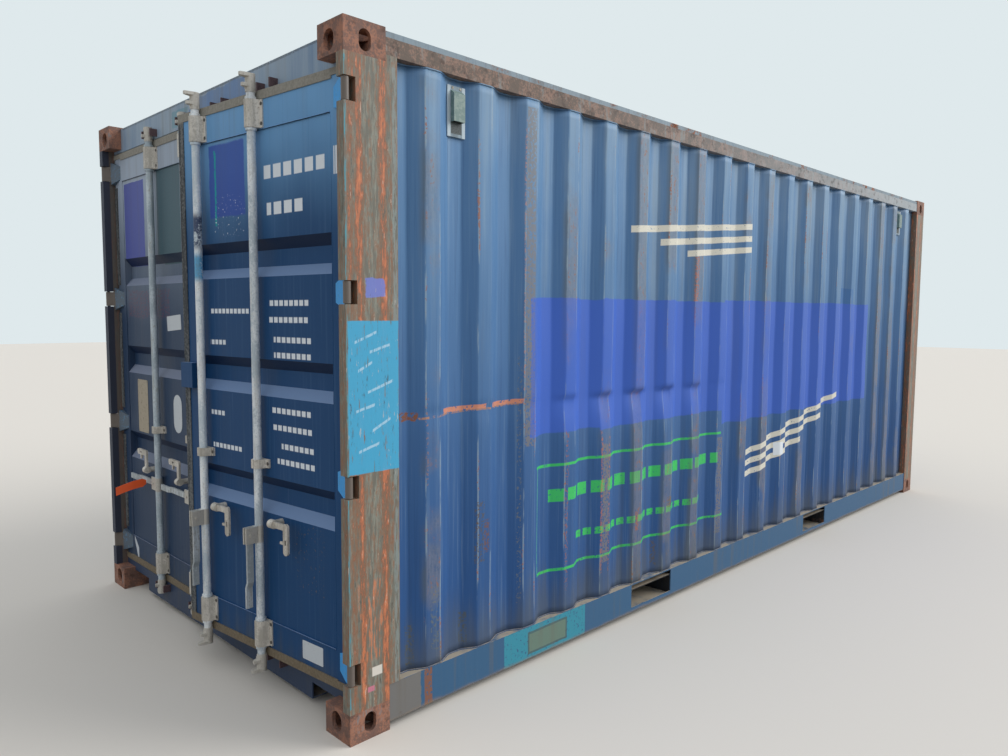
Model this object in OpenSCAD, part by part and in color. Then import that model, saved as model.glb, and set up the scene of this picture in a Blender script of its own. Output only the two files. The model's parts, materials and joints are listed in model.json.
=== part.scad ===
// Twenty-foot shipping container with its right door standing ajar.
// +X runs along the container from the door end to the blind end, +Z is up.
// Facing the doors, the right side is at -Y. The origin is the middle of the
// footprint, at the undersides of the corner castings.

/* [Container] */
// Length over the corner castings
length = 6058; // [3000:1:12192]
// Width over the corner castings
width = 2438; // [2000:1:2600]
// Height over the corner castings
height = 2591; // [2200:1:2896]

/* [Corner castings] */
// Length of a casting along the container
casting_l = 178; // [170:1:190]
// Width of a casting across the container
casting_w = 162; // [155:1:170]
// Height of a casting
casting_h = 118; // [110:1:125]
// Thickness of the wall with the long slot
seat_wall = 28; // [20:1:32]
// Thickness of the outer side and end walls
outer_wall = 16; // [10:1:18]
// Thickness of the walls that face the frame
inner_wall = 8; // [6:1:10]
// End-to-end length of the long slot
slot_l = 124.5; // [110:0.5:126]
// Width of the long slot and of the end hole
slot_w = 63.5; // [50:0.5:66]
// Height of the side and end holes
port_h = 76; // [70:1:78]
// Width of the side hole
port_w = 51; // [40:1:56]
// Distance of the long slot's centre from the casting's end face
slot_from_end = 102.5; // [98:0.5:103]
// Distance of the long slot's centre from the casting's side face
slot_from_side = 89.5; // [85:0.5:92]
// Distance of the side hole's centre from the casting's end face
port_from_end = 89; // [80:1:95]
// Distance of the side and end holes' centres from the slotted face
port_from_seat = 66; // [64:1:68]

/* [Frame] */
// Thickness of the pressed post and sill plates
frame_plate = 6; // [4:1:8]
// Width of the rear post's outer leg, seen beside the doors
post_leg = 44; // [42:1:52]
// Distance over which the rear post's side plate reaches past the castings
post_wing = 50; // [20:1:60]
// Depth from the front plane to the stop that the doors close against
stop_depth = 124; // [122:1:135]
// Width of the post where the doors stop against it
post_stop_w = 80; // [70:1:100]
// Depth from the front plane to the faces of doors, header and sill
face_depth = 62; // [58:1:66]
// Height of the doorway's lower edge
doorway_low = 148; // [140:1:160]
// Height of the doorway's upper edge, down from the top
doorway_drop = 133; // [128:1:150]
// Height of the door stop's lip on header and sill
stop_lip = 28; // [20:1:36]
// Distance of the header's top below the castings' tops
header_sink = 9; // [5:1:15]
// Height of the undersides of rails and sills above the castings' undersides
rail_low = 30; // [13:1:40]
// Width of the handling recess in the sill beside each casting
recess_w = 200; // [120:1:260]
// Height of the top of that recess
recess_top = 100; // [80:1:112]
// Depth of the front sill and front header along the container
front_rail_d = 64; // [50:1:80]

/* [Side rails] */
// Height of the top of the bottom rail
bottom_rail_top = 178; // [170:1:190]
// Thickness of the bottom rail
bottom_rail_t = 4.5; // [3:0.5:6]
// Width of the bottom rail's upper flange
upper_flange = 48; // [40:1:60]
// Width of the bottom rail's lower flange
lower_flange = 30; // [20:1:40]
// Distance of the rails' outer faces inside the castings' faces
rail_inset = 4; // [2:1:8]
// Height and width of the square top rail
top_rail = 63; // [50:1:80]
// Wall thickness of the top rail
top_rail_t = 3; // [2:0.5:5]
// Distance of the top rail's top below the castings' tops
top_rail_sink = 31; // [26:1:40]

/* [Walls] */
// Thickness of the wall and roof sheets
sheet = 2; // [1.6:0.1:3]
// Distance between the crests of a side wall
crest_pitch = 276.5; // [240:0.5:320]
// Flat width of a crest
crest_w = 72; // [50:1:100]
// Width of the slope beside a crest
crest_slope = 68; // [40:1:80]
// Depth of the side wall's corrugation
crest_depth = 36; // [25:1:40]
// Distance of the crests inside the castings' side faces
wall_inset = 7; // [5:1:12]
// Distance between the waves of the front end wall
wave_pitch = 250; // [200:1:300]
// Flat width of a wave
wave_w = 104; // [70:1:130]
// Width of the slope beside a wave
wave_slope = 18; // [15:1:40]
// Depth of the front end wall's corrugation
wave_depth = 46; // [30:1:50]
// Distance between the troughs of the roof
trough_pitch = 300; // [150:1:400]
// Flat width of a trough
trough_w = 90; // [50:1:120]
// Width of the slope beside a trough
trough_slope = 55; // [20:1:60]
// Depth of a trough
trough_depth = 17; // [10:1:18]
// Distance of the troughs' ends from the roof's edges
trough_margin = 95; // [70:1:150]

/* [Base] */
// Thickness of the floor boards
floor_t = 28; // [20:1:35]
// Height of the cross members
member_h = 112; // [100:1:116]
// Width of a cross member's flanges
member_w = 45; // [35:1:60]
// Thickness of the cross members
member_t = 4; // [3:0.5:6]
// Distance between the cross members
member_pitch = 300; // [250:1:400]
// Inner width of a forklift pocket
pocket_w = 360; // [300:1:380]
// Distance between the forklift pockets' centres
pocket_spacing = 2062; // [1800:1:2100]
// Offset of the pair of pockets from the container's middle
pocket_offset = -77; // [-100:1:100]
// Height of the pockets' lower edge in the bottom rail
pocket_low = 54; // [45:1:60]
// Thickness of the pocket plates
pocket_t = 4; // [3:0.5:6]
// Length of the strap under each end of a pocket
strap_l = 200; // [150:1:250]
// Thickness of that strap
strap_t = 6; // [4:1:8]

/* [Ventilators] */
// Width of a ventilator box
vent_w = 92; // [60:1:120]
// Height of a ventilator box
vent_h = 195; // [120:1:240]
// How far a ventilator's hood stands out of its recess
vent_d = 31; // [22:1:34]
// Width of its flange beside the hood
vent_rim = 17; // [10:1:20]
// Thickness of its flange
vent_t = 4; // [2:1:6]
// Height of the open mouth under its hood
vent_mouth = 40; // [20:1:60]
// Distance of its top below the top rail
vent_drop = 30; // [15:1:60]

/* [Doors] */
// Angle at which the right door stands ajar
ajar = 5.6; // [0:0.1:12]
// Gap between a door leaf and the doorway
leaf_gap = 11; // [10:0.5:14]
// Gap between the two leaves
seam_gap = 16; // [12:1:20]
// Depth of the leaf's frame
leaf_d = 50; // [40:1:55]
// Wall thickness of the leaf's frame
leaf_t = 4; // [3:0.5:6]
// Width of the leaf's upright tubes
stile_w = 100; // [80:1:120]
// Height of the leaf's top and bottom members
cross_rail_h = 145; // [110:1:180]
// Thickness of the door panel
panel_t = 2.5; // [2:0.5:4]
// Distance of the panel behind the leaf's face
panel_sink = 3; // [1:1:6]
// Depth of the panel's ribs
rib_depth = 34; // [25:1:40]
// Height of a rib over its slopes
rib_h = 150; // [110:1:180]
// Height of a rib's slopes
rib_slope = 42; // [30:1:60]
// Height of the lowest rib's centre
rib_low = 836; // [700:1:900]
// Distance between the ribs' centres
rib_pitch = 482; // [400:1:520]
// Number of ribs
rib_count = 3; // [1:1:3]
// Width of the gasket strip that shows on the face
gasket_w = 30; // [20:1:40]
// Thickness of the gasket strip on the face
gasket_t = 4; // [2:0.5:5]
// Gap between the gasket and the doorway
gasket_gap = 5.5; // [5:0.5:8]

/* [Hinges] */
// Distance of the hinge pins behind the front plane and inside the side plane
pin_inset = 17; // [16:0.5:18]
// Radius of the hinge pins
pin_r = 8; // [6:0.5:9]
// Radial play of pins and rods in their bores
play = 0.1; // [0.05:0.05:0.3]
// Radius of the hinge barrel
barrel_r = 14; // [12:0.5:14]
// Height of the hinge barrel
barrel_h = 78; // [60:1:90]
// Gap above and below the barrel
barrel_gap = 3; // [2:0.5:5]
// Depth of the post's slot at a hinge, from the front plane
slot_depth = 49; // [48:1:52]
// Thickness of the lug plates above and below the slot
lug_t = 8; // [6:1:12]
// Height of the lowest hinge
hinge_low = 262; // [230:1:300]
// Distance of the highest hinge below the doorway's upper edge
hinge_drop = 108; // [90:1:140]
// Number of hinges on a door
hinge_count = 4; // [2:1:4]
// Gap between a hinge blade and the post
hinge_clear = 5; // [5:0.5:6]
// Reach of a hinge blade beyond the post
blade_reach = 92; // [70:1:110]
// Height of a blade's root beside the post
blade_root_h = 122; // [90:1:140]
// Height of a blade's tip
blade_tip_h = 66; // [40:1:90]

/* [Lock rods] */
// Radius of a lock rod
rod_r = 17; // [13:0.5:18]
// Distance of a rod's axis in front of the leaf's face
rod_out = 26; // [24:1:30]
// Distance of the outer rods from the seam
outer_rod_y = 602; // [560:1:700]
// Distance of the inner rods from the seam
inner_rod_y = 181; // [150:1:230]
// Radius of a cam's boss
cam_r = 20; // [18:0.5:20]
// Height of a cam
cam_h = 70; // [50:1:90]
// Reach of a cam's horns from the rod's axis
horn_reach = 48; // [40:1:55]
// Thickness of a horn
horn_t = 13; // [8:1:18]
// Distance of the cams' outer ends beyond the doorway's edges
cam_over = 56; // [45:1:60]
// Reach of a keeper's lugs out of header and sill
keeper_out = 36; // [30:1:50]
// Thickness of a keeper's lug
keeper_t = 9; // [6:1:12]
// Height of a keeper's lug
keeper_h = 36; // [30:1:55]
// Gap between a horn and the keeper's lugs
keeper_gap = 7; // [6:0.5:10]
// Height of the top and bottom rod brackets
bracket_h = 108; // [90:1:140]
// Height of the middle rod brackets
mid_bracket_h = 36; // [30:1:60]
// Half width of a bracket over its feet
bracket_half = 46; // [42:1:60]
// Thickness of a bracket's feet and hump
bracket_t = 6; // [4:1:8]
// Height of the middle brackets' centre
mid_bracket_z = 967; // [900:1:1050]
// Distance of the bottom brackets' centres above the doorway's lower edge
low_bracket_in = 106; // [95:1:130]
// Distance of the top brackets' centres below the doorway's upper edge
top_bracket_in = 97; // [90:1:130]

/* [Handles] */
// Height of the handles' pivots
handle_z = 676; // [600:1:760]
// Distance of a handle's pivot from its rod's axis
handle_pivot = 46; // [44:1:70]
// Height of the hub's plates
hub_h = 68; // [60:1:90]
// Reach of the hub's plates beyond the handle's pivot
hub_over = 22; // [16:1:26]
// Thickness of a hub plate
hub_t = 6; // [4:1:8]
// Length of a handle from its pivot
handle_l = 306; // [260:1:335]
// Width of a handle
handle_w = 28; // [20:1:34]
// Thickness of a handle
handle_t = 10; // [6:1:12]
// Distance from the pivot to the handle's joggle
joggle_at = 196; // [185:1:230]
// Length over which the joggle steps sideways
joggle_run = 24; // [16:1:40]
// Sideways step of the joggle
joggle = 11; // [6:1:14]
// Gap between a handle and the hub's plates
hub_gap = 1; // [0.5:0.5:2]
// Distance of a catch's boss from its rod's axis
catch_y = 120; // [110:1:130]
// Height of a catch's boss above the handles' pivots
catch_rise = 63; // [50:1:75]
// Radius of a catch's boss
catch_r = 14; // [10:1:18]
// Radius of the eye at the catch arm's pivot
catch_eye_r = 18; // [14:1:20]
// Length of the catch arm's upper leg
catch_run = 90; // [80:1:110]
// Length of the catch arm's lower leg
catch_fall = 97; // [80:1:120]
// Width of the catch arm
catch_w = 30; // [20:1:34]
// Height of the slot in the catch arm
catch_slot = 22; // [16:1:36]
// Thickness of the catch arm
catch_t = 10; // [4:1:11]
// Gap between a handle and a catch arm
catch_gap = 6; // [5:0.5:7]

/* [Seam box] */
// Width of the box beside the seam
seam_box_w = 96; // [60:1:110]
// Height of the box beside the seam
seam_box_h = 112; // [80:1:140]
// Depth of the box beside the seam
seam_box_d = 28; // [20:1:34]
// Height of the box's centre
seam_box_z = 1300; // [1200:1:1400]

/* [Hidden] */

RIGHT = -1;
LEFT = 1;
EPS = 1;
half_l = length / 2;
half_w = width / 2;
front_x = -half_l;
doorway_top = height - doorway_drop;
header_top = height - header_sink;
post_in_x = front_x + casting_l;
front_in_x = half_l - casting_l;
casting_in_y = half_w - casting_w;
face_x = front_x + face_depth;
stop_x = front_x + stop_depth;
leg_in_y = half_w - post_leg;
stop_in_y = half_w - post_stop_w;
rail_y = half_w - rail_inset;
top_rail_top = height - top_rail_sink;
top_rail_low = top_rail_top - top_rail;
crest_y = half_w - wall_inset;
member_top = doorway_low;
floor_top = member_top + floor_t;
front_rail_x = half_l - rail_inset - front_rail_d;
wave_x = half_l - wall_inset;

crest_count = floor((2 * front_in_x - 2 * crest_slope) / crest_pitch);
wave_count = floor((2 * stop_in_y - crest_slope) / wave_pitch);
trough_count = floor((2 * front_in_x - 2 * trough_margin) / trough_pitch);

leaf_low = doorway_low + leaf_gap;
leaf_top = doorway_top - leaf_gap;
leaf_side_y = leg_in_y - leaf_gap;
leaf_seam_y = seam_gap / 2;
leaf_back_x = face_x + leaf_d;
pin_x = front_x + pin_inset;
pin_y = half_w - pin_inset;
hinge_pitch = (doorway_top - hinge_drop - hinge_low) / (hinge_count - 1);
hinge_heights = [for (i = [0 : hinge_count - 1]) hinge_low + i * hinge_pitch];
rib_heights = [for (i = [0 : rib_count - 1]) rib_low + i * rib_pitch];

rod_x = face_x - rod_out;
cam_low = doorway_low - cam_over;
cam_top = doorway_top + cam_over;
low_bracket_z = doorway_low + low_bracket_in;
top_bracket_z = doorway_top - top_bracket_in;
hub_half = handle_t / 2 + hub_gap + hub_t;
pocket_centres = [for (s = [-1, 1]) pocket_offset + s * pocket_spacing / 2];
member_limit = floor((front_in_x - member_w) / member_pitch);
member_places = [for (i = [-member_limit : member_limit]) i * member_pitch];

steel_blue = [0.23, 0.37, 0.55];
door_blue = [0.12, 0.24, 0.42];
rust_brown = [0.43, 0.30, 0.26];
zinc_grey = [0.70, 0.72, 0.70];
seal_grey = [0.42, 0.38, 0.34];
lug_blue = [0.28, 0.62, 0.85];
board_brown = [0.50, 0.38, 0.26];

// Helpers

// Builds a right-hand piece, or its mirror image for the left side.
module on_side(side) {
    mirror([0, side == LEFT ? 1 : 0, 0]) children();
}

// Turns the right door's pieces to their ajar position. The left door is closed.
module hung(side) {
    if (side == RIGHT)
        translate([pin_x, -pin_y, 0]) rotate([0, 0, ajar]) translate([-pin_x, pin_y, 0]) children();
    else
        on_side(LEFT) children();
}

// Stands a profile drawn in X and Z on edge, from y_from to y_to.
module along_y(y_from, y_to) {
    translate([0, y_to, 0]) rotate([90, 0, 0]) linear_extrude(y_to - y_from) children();
}

// Lays a profile drawn in Y and Z along the container, from x_from to x_to.
module along_x(x_from, x_to) {
    translate([x_from, 0, 0]) rotate([90, 0, 90]) linear_extrude(x_to - x_from) children();
}

// A slot with round ends, cut through along Z.
module long_hole(len, wid, depth) {
    for (s = [-1, 1]) translate([s * (len - wid) / 2, 0, 0]) cylinder(h = depth, r = wid / 2, $fn = 48);
    translate([-(len - wid) / 2, -wid / 2, 0]) cube([len - wid, wid, depth]);
}

function reversed(points) = [for (i = [len(points) - 1 : -1 : 0]) points[i]];

// Centre line of a trapezoid wave: count humps of height depth, from -end to end.
function wave_line(count, pitch, flat, slope, depth, end) = concat(
    [[-end, 0]],
    [for (i = [0 : count - 1], p = [[-1, 1], [-1, 0], [1, 0], [1, 1]])
        [(i - (count - 1) / 2) * pitch + p[0] * (flat / 2 + p[1] * slope), p[1] == 0 ? depth : 0]],
    [[end, 0]]
);

// A sheet of even thickness that follows a wave's centre line.
module wave_sheet(line, t) {
    polygon(concat(line, reversed([for (p = line) p + [0, t]])));
}

// Corner castings

// One casting with its outer corner at the origin and its slotted face at z = 0.
module casting_body() {
    difference() {
        cube([casting_l, casting_w, casting_h]);
        translate([outer_wall, outer_wall, seat_wall])
            cube([
                casting_l - outer_wall - inner_wall,
                casting_w - outer_wall - inner_wall,
                casting_h - seat_wall - inner_wall
            ]);
        translate([slot_from_end, slot_from_side, -EPS]) long_hole(slot_l, slot_w, seat_wall + 2 * EPS);
        translate([port_from_end, outer_wall + EPS, port_from_seat]) rotate([90, 90, 0])
            long_hole(port_h, port_w, outer_wall + 2 * EPS);
        translate([-EPS, slot_from_side, port_from_seat]) rotate([0, 90, 0])
            long_hole(port_h, slot_w, outer_wall + 2 * EPS);
    }
}

module corner_casting(end, side, top) {
    color(rust_brown)
        translate([end * half_l, side * half_w, top ? height : 0])
            mirror([end > 0 ? 1 : 0, 0, 0])
                mirror([0, side > 0 ? 1 : 0, 0])
                    mirror([0, 0, top ? 1 : 0])
                        casting_body();
}

// Frame

// Plan of the rear post, measured from its outer front corner.
function post_plan(t) = [
    [t, t], [t, post_leg - t], [stop_depth + t, post_leg - t], [stop_depth + t, post_stop_w - t],
    [casting_l - t, post_stop_w - t], [casting_l - t, t]
];

module rear_post(side) {
    color(rust_brown) on_side(side) translate([front_x, -half_w, 0]) {
        difference() {
            translate([0, 0, casting_h]) linear_extrude(height - 2 * casting_h) difference() {
                polygon(post_plan(0));
                polygon(post_plan(frame_plate));
            }
            for (z = hinge_heights)
                translate([-EPS, -EPS, z - hinge_slot_h() / 2])
                    cube([slot_depth + EPS, post_leg + 2 * EPS, hinge_slot_h()]);
        }
        for (z = hinge_heights) {
            for (s = [-1, 1])
                translate([frame_plate, frame_plate, z + s * (hinge_slot_h() + lug_t) / 2 - lug_t / 2])
                    cube([slot_depth, post_leg - 2 * frame_plate, lug_t]);
            translate([slot_depth, frame_plate, z - hinge_slot_h() / 2 - lug_t])
                cube([frame_plate, post_leg - 2 * frame_plate, hinge_slot_h() + 2 * lug_t]);
            translate([pin_inset, pin_inset, z - hinge_slot_h() / 2 - lug_t])
                cylinder(h = hinge_slot_h() + 2 * lug_t, r = pin_r, $fn = 32);
        }
        difference() {
            translate([casting_l - EPS, 0, bottom_rail_top]) linear_extrude(top_rail_low - bottom_rail_top)
                polygon([
                    [0, 0], [post_wing + EPS, 0], [post_wing + EPS, wall_inset + crest_depth],
                    [post_wing + EPS - frame_plate, wall_inset + crest_depth],
                    [post_wing + EPS - frame_plate, frame_plate], [0, frame_plate]
                ]);
            translate([casting_l - 2 * EPS, -EPS, height - casting_h])
                cube([2 * EPS, frame_plate + 2 * EPS, casting_h]);
        }
    }
}

function hinge_slot_h() = barrel_h + 2 * barrel_gap;

module front_post(side) {
    color(rust_brown) on_side(side)
        translate([front_in_x, -half_w, casting_h]) linear_extrude(height - 2 * casting_h) difference() {
            square([casting_l, post_stop_w]);
            translate([frame_plate, frame_plate])
                square([casting_l - 2 * frame_plate, post_stop_w - 2 * frame_plate]);
        }
}

// Header over the doors, with the lip that the doors close against.
module rear_header() {
    low = doorway_top;
    color(steel_blue) {
        along_y(-casting_in_y, casting_in_y) difference() {
            union() {
                translate([face_x, low]) square([post_in_x - face_x, header_top - low]);
                translate([stop_x, low - stop_lip]) square([post_in_x - stop_x, stop_lip]);
            }
            translate([face_x + frame_plate, low + frame_plate])
                square([post_in_x - face_x - 2 * frame_plate, header_top - low - 2 * frame_plate]);
        }
        for (s = [-1, 1]) {
            translate([face_x, min(s * casting_in_y, s * leg_in_y), low])
                cube([stop_x - face_x, leg_in_y - casting_in_y, height - casting_h - low]);
            translate([stop_x, min(s * casting_in_y, s * stop_in_y), low - stop_lip])
                cube([post_in_x - stop_x, stop_in_y - casting_in_y, height - casting_h - low + stop_lip]);
        }
    }
}

// Sill under the doors, with a handling recess beside each casting.
module rear_sill() {
    high = doorway_low;
    color(steel_blue) {
        difference() {
            along_y(-casting_in_y, casting_in_y) difference() {
                union() {
                    translate([face_x, rail_low]) square([post_in_x - face_x, high - rail_low]);
                    translate([stop_x, high]) square([post_in_x - stop_x, stop_lip]);
                }
                translate([face_x + frame_plate, rail_low + frame_plate])
                    square([post_in_x - face_x - 2 * frame_plate, high - rail_low - 2 * frame_plate]);
            }
            for (s = [-1, 1])
                translate([
                    face_x - EPS, s > 0 ? casting_in_y - recess_w : -casting_in_y - EPS, rail_low - EPS
                ])
                    cube([post_in_x - face_x + 2 * EPS, recess_w + EPS, recess_top - rail_low + EPS]);
        }
        for (s = [-1, 1]) {
            translate([face_x, min(s * casting_in_y, s * leg_in_y), casting_h])
                cube([stop_x - face_x, leg_in_y - casting_in_y, high - casting_h]);
            translate([stop_x, min(s * casting_in_y, s * stop_in_y), casting_h])
                cube([post_in_x - stop_x, stop_in_y - casting_in_y, high - casting_h + stop_lip]);
        }
    }
}

module front_header() {
    low = height - casting_h;
    color(steel_blue) along_y(-casting_in_y, casting_in_y) difference() {
        translate([front_rail_x, low]) square([front_rail_d, top_rail_top - low]);
        translate([front_rail_x + top_rail_t, low + top_rail_t])
            square([front_rail_d - 2 * top_rail_t, top_rail_top - low - 2 * top_rail_t]);
    }
}

module front_sill() {
    color(steel_blue) {
        along_y(-casting_in_y, casting_in_y) difference() {
            translate([front_rail_x, rail_low]) square([front_rail_d, bottom_rail_top - rail_low]);
            translate([front_rail_x - EPS, rail_low + bottom_rail_t])
                square([
                    front_rail_d - bottom_rail_t + EPS, bottom_rail_top - rail_low - 2 * bottom_rail_t
                ]);
        }
        for (s = [-1, 1])
            translate([front_rail_x, min(s * casting_in_y, s * stop_in_y), casting_h])
                cube([front_rail_d, stop_in_y - casting_in_y, bottom_rail_top - casting_h]);
    }
}

module top_side_rail(side) {
    color(steel_blue) on_side(side) along_x(post_in_x, front_in_x) difference() {
        translate([-rail_y, top_rail_low]) square(top_rail);
        translate([-rail_y + top_rail_t, top_rail_low + top_rail_t]) square(top_rail - 2 * top_rail_t);
    }
}

// Section of the channel under a side wall.
module bottom_rail_section() {
    translate([-rail_y, rail_low]) square([bottom_rail_t, bottom_rail_top - rail_low]);
    translate([-rail_y, bottom_rail_top - bottom_rail_t]) square([upper_flange, bottom_rail_t]);
    translate([-rail_y, rail_low]) square([lower_flange, bottom_rail_t]);
}

// The channel's three lengths, left open at the forklift pockets.
module bottom_side_rail(side) {
    half = pocket_w / 2 + pocket_t;
    starts = concat([post_in_x], [for (x = pocket_centres) x + half]);
    ends = concat([for (x = pocket_centres) x - half], [front_in_x]);
    color(steel_blue) on_side(side)
        for (i = [0 : len(starts) - 1]) along_x(starts[i], ends[i]) bottom_rail_section();
}

// Walls

module side_wall(side) {
    line = wave_line(crest_count, crest_pitch, crest_w, crest_slope, crest_depth, front_in_x);
    color(steel_blue) on_side(side)
        translate([0, -crest_y + crest_depth, bottom_rail_top])
            mirror([0, 1, 0]) linear_extrude(top_rail_low - bottom_rail_top) wave_sheet(line, -sheet);
}

module front_end_wall() {
    line = wave_line(wave_count, wave_pitch, wave_w, wave_slope, wave_depth, stop_in_y);
    color(steel_blue)
        translate([wave_x - wave_depth, 0, bottom_rail_top])
            mirror([1, -1, 0])
                linear_extrude(height - casting_h - bottom_rail_top) wave_sheet(line, -sheet);
}

// Roof sheet with stamped troughs across it, closed at the troughs' ends.
module roof_panel() {
    deck_z = top_rail_top + trough_depth + sheet;
    edge_y = rail_y - EPS;
    trough_y = edge_y - trough_margin;
    half = (trough_count - 1) / 2;
    line = wave_line(trough_count, trough_pitch, trough_w, trough_slope, -trough_depth, front_in_x);
    color(steel_blue) {
        translate([0, 0, deck_z]) {
            along_y(-trough_y, trough_y) wave_sheet(line, sheet);
            for (s = [-1, 1]) {
                translate([-front_in_x, s > 0 ? trough_y : -edge_y, 0])
                    cube([2 * front_in_x, trough_margin, sheet]);
                for (i = [0 : trough_count - 1])
                    along_y(
                        min(s * trough_y, s * (trough_y + sheet)), max(s * trough_y, s * (trough_y + sheet))
                    )
                        translate([(i - half) * trough_pitch, 0])
                            polygon([
                                [-trough_w / 2 - trough_slope, 0], [-trough_w / 2, -trough_depth],
                                [trough_w / 2, -trough_depth], [trough_w / 2 + trough_slope, 0]
                            ]);
            }
        }
        for (s = [-1, 1])
            translate([-front_in_x, s > 0 ? edge_y - sheet : -edge_y, top_rail_top])
                cube([2 * front_in_x, sheet, trough_depth + sheet]);
        translate([front_in_x - sheet, -casting_in_y, deck_z])
            cube([front_rail_x + front_rail_d - front_in_x + sheet, 2 * casting_in_y, sheet]);
        translate([front_rail_x + front_rail_d - sheet, -casting_in_y, top_rail_top])
            cube([sheet, 2 * casting_in_y, trough_depth + sheet]);
    }
}

// Base

module floor_deck() {
    edge_y = rail_y - upper_flange - EPS;
    end_y = stop_in_y - EPS;
    color(board_brown) {
        translate([post_in_x, -edge_y, member_top])
            cube([front_in_x - EPS - post_in_x, 2 * edge_y, floor_t]);
        translate([post_in_x, -end_y, member_top])
            cube([front_rail_x - EPS - post_in_x, 2 * end_y, floor_t]);
    }
}

// Steel channels under the floor, left out where a forklift pocket passes.
module cross_members() {
    reach = rail_y - bottom_rail_t;
    clear = pocket_w / 2 + pocket_t + member_w;
    color(steel_blue)
        for (x = member_places)
            if (min([for (c = pocket_centres) abs(x + member_w / 2 - c)]) > clear - member_w / 2)
                translate([x, 0, 0]) along_y(-reach, reach) difference() {
                    translate([0, member_top - member_h]) square([member_w, member_h]);
                    translate([member_t, member_top - member_h + member_t])
                        square([member_w, member_h - 2 * member_t]);
                }
}

// Tunnels for a forklift's tines: a top plate and two side plates each.
module fork_pockets() {
    reach = rail_y - bottom_rail_t;
    low = rail_low + bottom_rail_t + EPS;
    color(steel_blue)
        for (x = pocket_centres)
            translate([x, 0, 0]) along_y(-reach, reach) difference() {
                translate([-pocket_w / 2 - pocket_t, low])
                    square([pocket_w + 2 * pocket_t, member_top - low]);
                translate([-pocket_w / 2, low - EPS]) square([pocket_w, member_top - low - pocket_t + EPS]);
            }
}

// Frames of the pockets' mouths: the rail's lips over and under them, and a strap plate behind.
module pocket_straps() {
    half = pocket_w / 2 + pocket_t;
    color(steel_blue)
        for (side = [RIGHT, LEFT], x = pocket_centres)
            on_side(side) {
                along_x(x - half, x + half) intersection() {
                    bottom_rail_section();
                    union() {
                        translate([-rail_y, rail_low]) square([lower_flange, pocket_low - rail_low]);
                        translate([-rail_y, bottom_rail_top - bottom_rail_t])
                            square([upper_flange, bottom_rail_t]);
                    }
                }
                translate([x - pocket_w / 2 + EPS, -rail_y + bottom_rail_t, rail_low + bottom_rail_t + EPS])
                    cube([pocket_w - 2 * EPS, strap_l, strap_t]);
            }
}

// Ventilators in the side walls' first and last recesses: a flange and a hood that is open below.
module ventilators() {
    recess_x = (crest_count / 2 - 1) * crest_pitch;
    root = (crest_pitch - crest_w) / 2 - crest_slope - EPS;
    rise = (vent_w / 2 - root) * crest_depth / crest_slope;
    flange = rise + vent_t;
    hood = vent_w / 2 - vent_rim;
    top = top_rail_low - vent_drop;
    hood_top = top - vent_rim;
    hood_low = top - vent_h + vent_rim + vent_mouth;
    color(steel_blue)
        for (side = [RIGHT, LEFT], s = [-1, 1])
            on_side(side)
                translate([s * recess_x, -crest_y + crest_depth, 0]) {
                    translate([0, 0, top - vent_h]) linear_extrude(vent_h)
                        polygon([
                            [-root, 0], [root, 0], [vent_w / 2, -rise], [vent_w / 2, -flange],
                            [-vent_w / 2, -flange], [-vent_w / 2, -rise]
                        ]);
                    difference() {
                        along_x(-hood, hood)
                            polygon([
                                [-flange + EPS, hood_top], [-flange, hood_top],
                                [-vent_d, hood_top - vent_d / 2],
                                [-vent_d, hood_low], [-flange + EPS, hood_low]
                            ]);
                        translate([-hood + vent_t, -vent_d + vent_t, hood_low - EPS])
                            cube([
                                2 * hood - 2 * vent_t, vent_d - vent_t - flange,
                                hood_top - vent_d - hood_low + EPS
                            ]);
                    }
                }
}

// Lugs on header and sill on both sides of each cam.
module cam_keepers() {
    lug_low = [doorway_low - keeper_h - 8, doorway_top + 8];
    color(rust_brown)
        for (side = [RIGHT, LEFT], y = [inner_rod_y, outer_rod_y], z = lug_low)
            on_side(side)
                for (lug = [-y - horn_reach - keeper_gap - keeper_t, -y + cam_r + keeper_gap + horn_t])
                translate([face_x - keeper_out, lug, z]) cube([keeper_out, keeper_t, keeper_h]);
}

// Doors, drawn closed and on the right

module door_frame(side) {
    seam_y = -leaf_seam_y;
    side_y = -leaf_side_y;
    color(door_blue) hung(side) {
        for (y = [side_y, seam_y - stile_w])
            translate([face_x, y, leaf_low]) linear_extrude(leaf_top - leaf_low) difference() {
                square([leaf_d, stile_w]);
                translate([leaf_t, leaf_t]) square([leaf_d - 2 * leaf_t, stile_w - 2 * leaf_t]);
            }
        for (z = [leaf_low, leaf_top - cross_rail_h])
            along_y(side_y + stile_w, seam_y - stile_w) difference() {
                translate([face_x, z]) square([leaf_d, cross_rail_h]);
                translate([face_x + leaf_t, z + leaf_t]) square([leaf_d, cross_rail_h - 2 * leaf_t]);
            }
        if (side == RIGHT)
            translate([face_x - seam_box_d, seam_y - seam_box_w, seam_box_z - seam_box_h / 2])
                difference() {
                    cube([seam_box_d, seam_box_w, seam_box_h]);
                    translate([leaf_t, leaf_t, -EPS])
                        cube([seam_box_d, seam_box_w - 2 * leaf_t, seam_box_h - leaf_t + EPS]);
                }
    }
}

// Door panel with recessed ribs across it, welded between the frame's members.
module door_panel(side) {
    low = leaf_low + cross_rail_h;
    top = leaf_top - cross_rail_h;
    line = concat(
        [[0, low]],
        [for (z = rib_heights, p = [[-1, 0], [-1, 1], [1, 1], [1, 0]])
            [p[1] * rib_depth, z + p[0] * (rib_h / 2 - p[1] * rib_slope)]],
        [[0, top]]
    );
    color(door_blue) hung(side)
        translate([face_x + panel_sink, 0, 0])
            along_y(-leaf_side_y + stile_w, -leaf_seam_y - stile_w)
                polygon(concat(line, reversed([for (p = line) p + [panel_t, 0]])));
}

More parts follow.
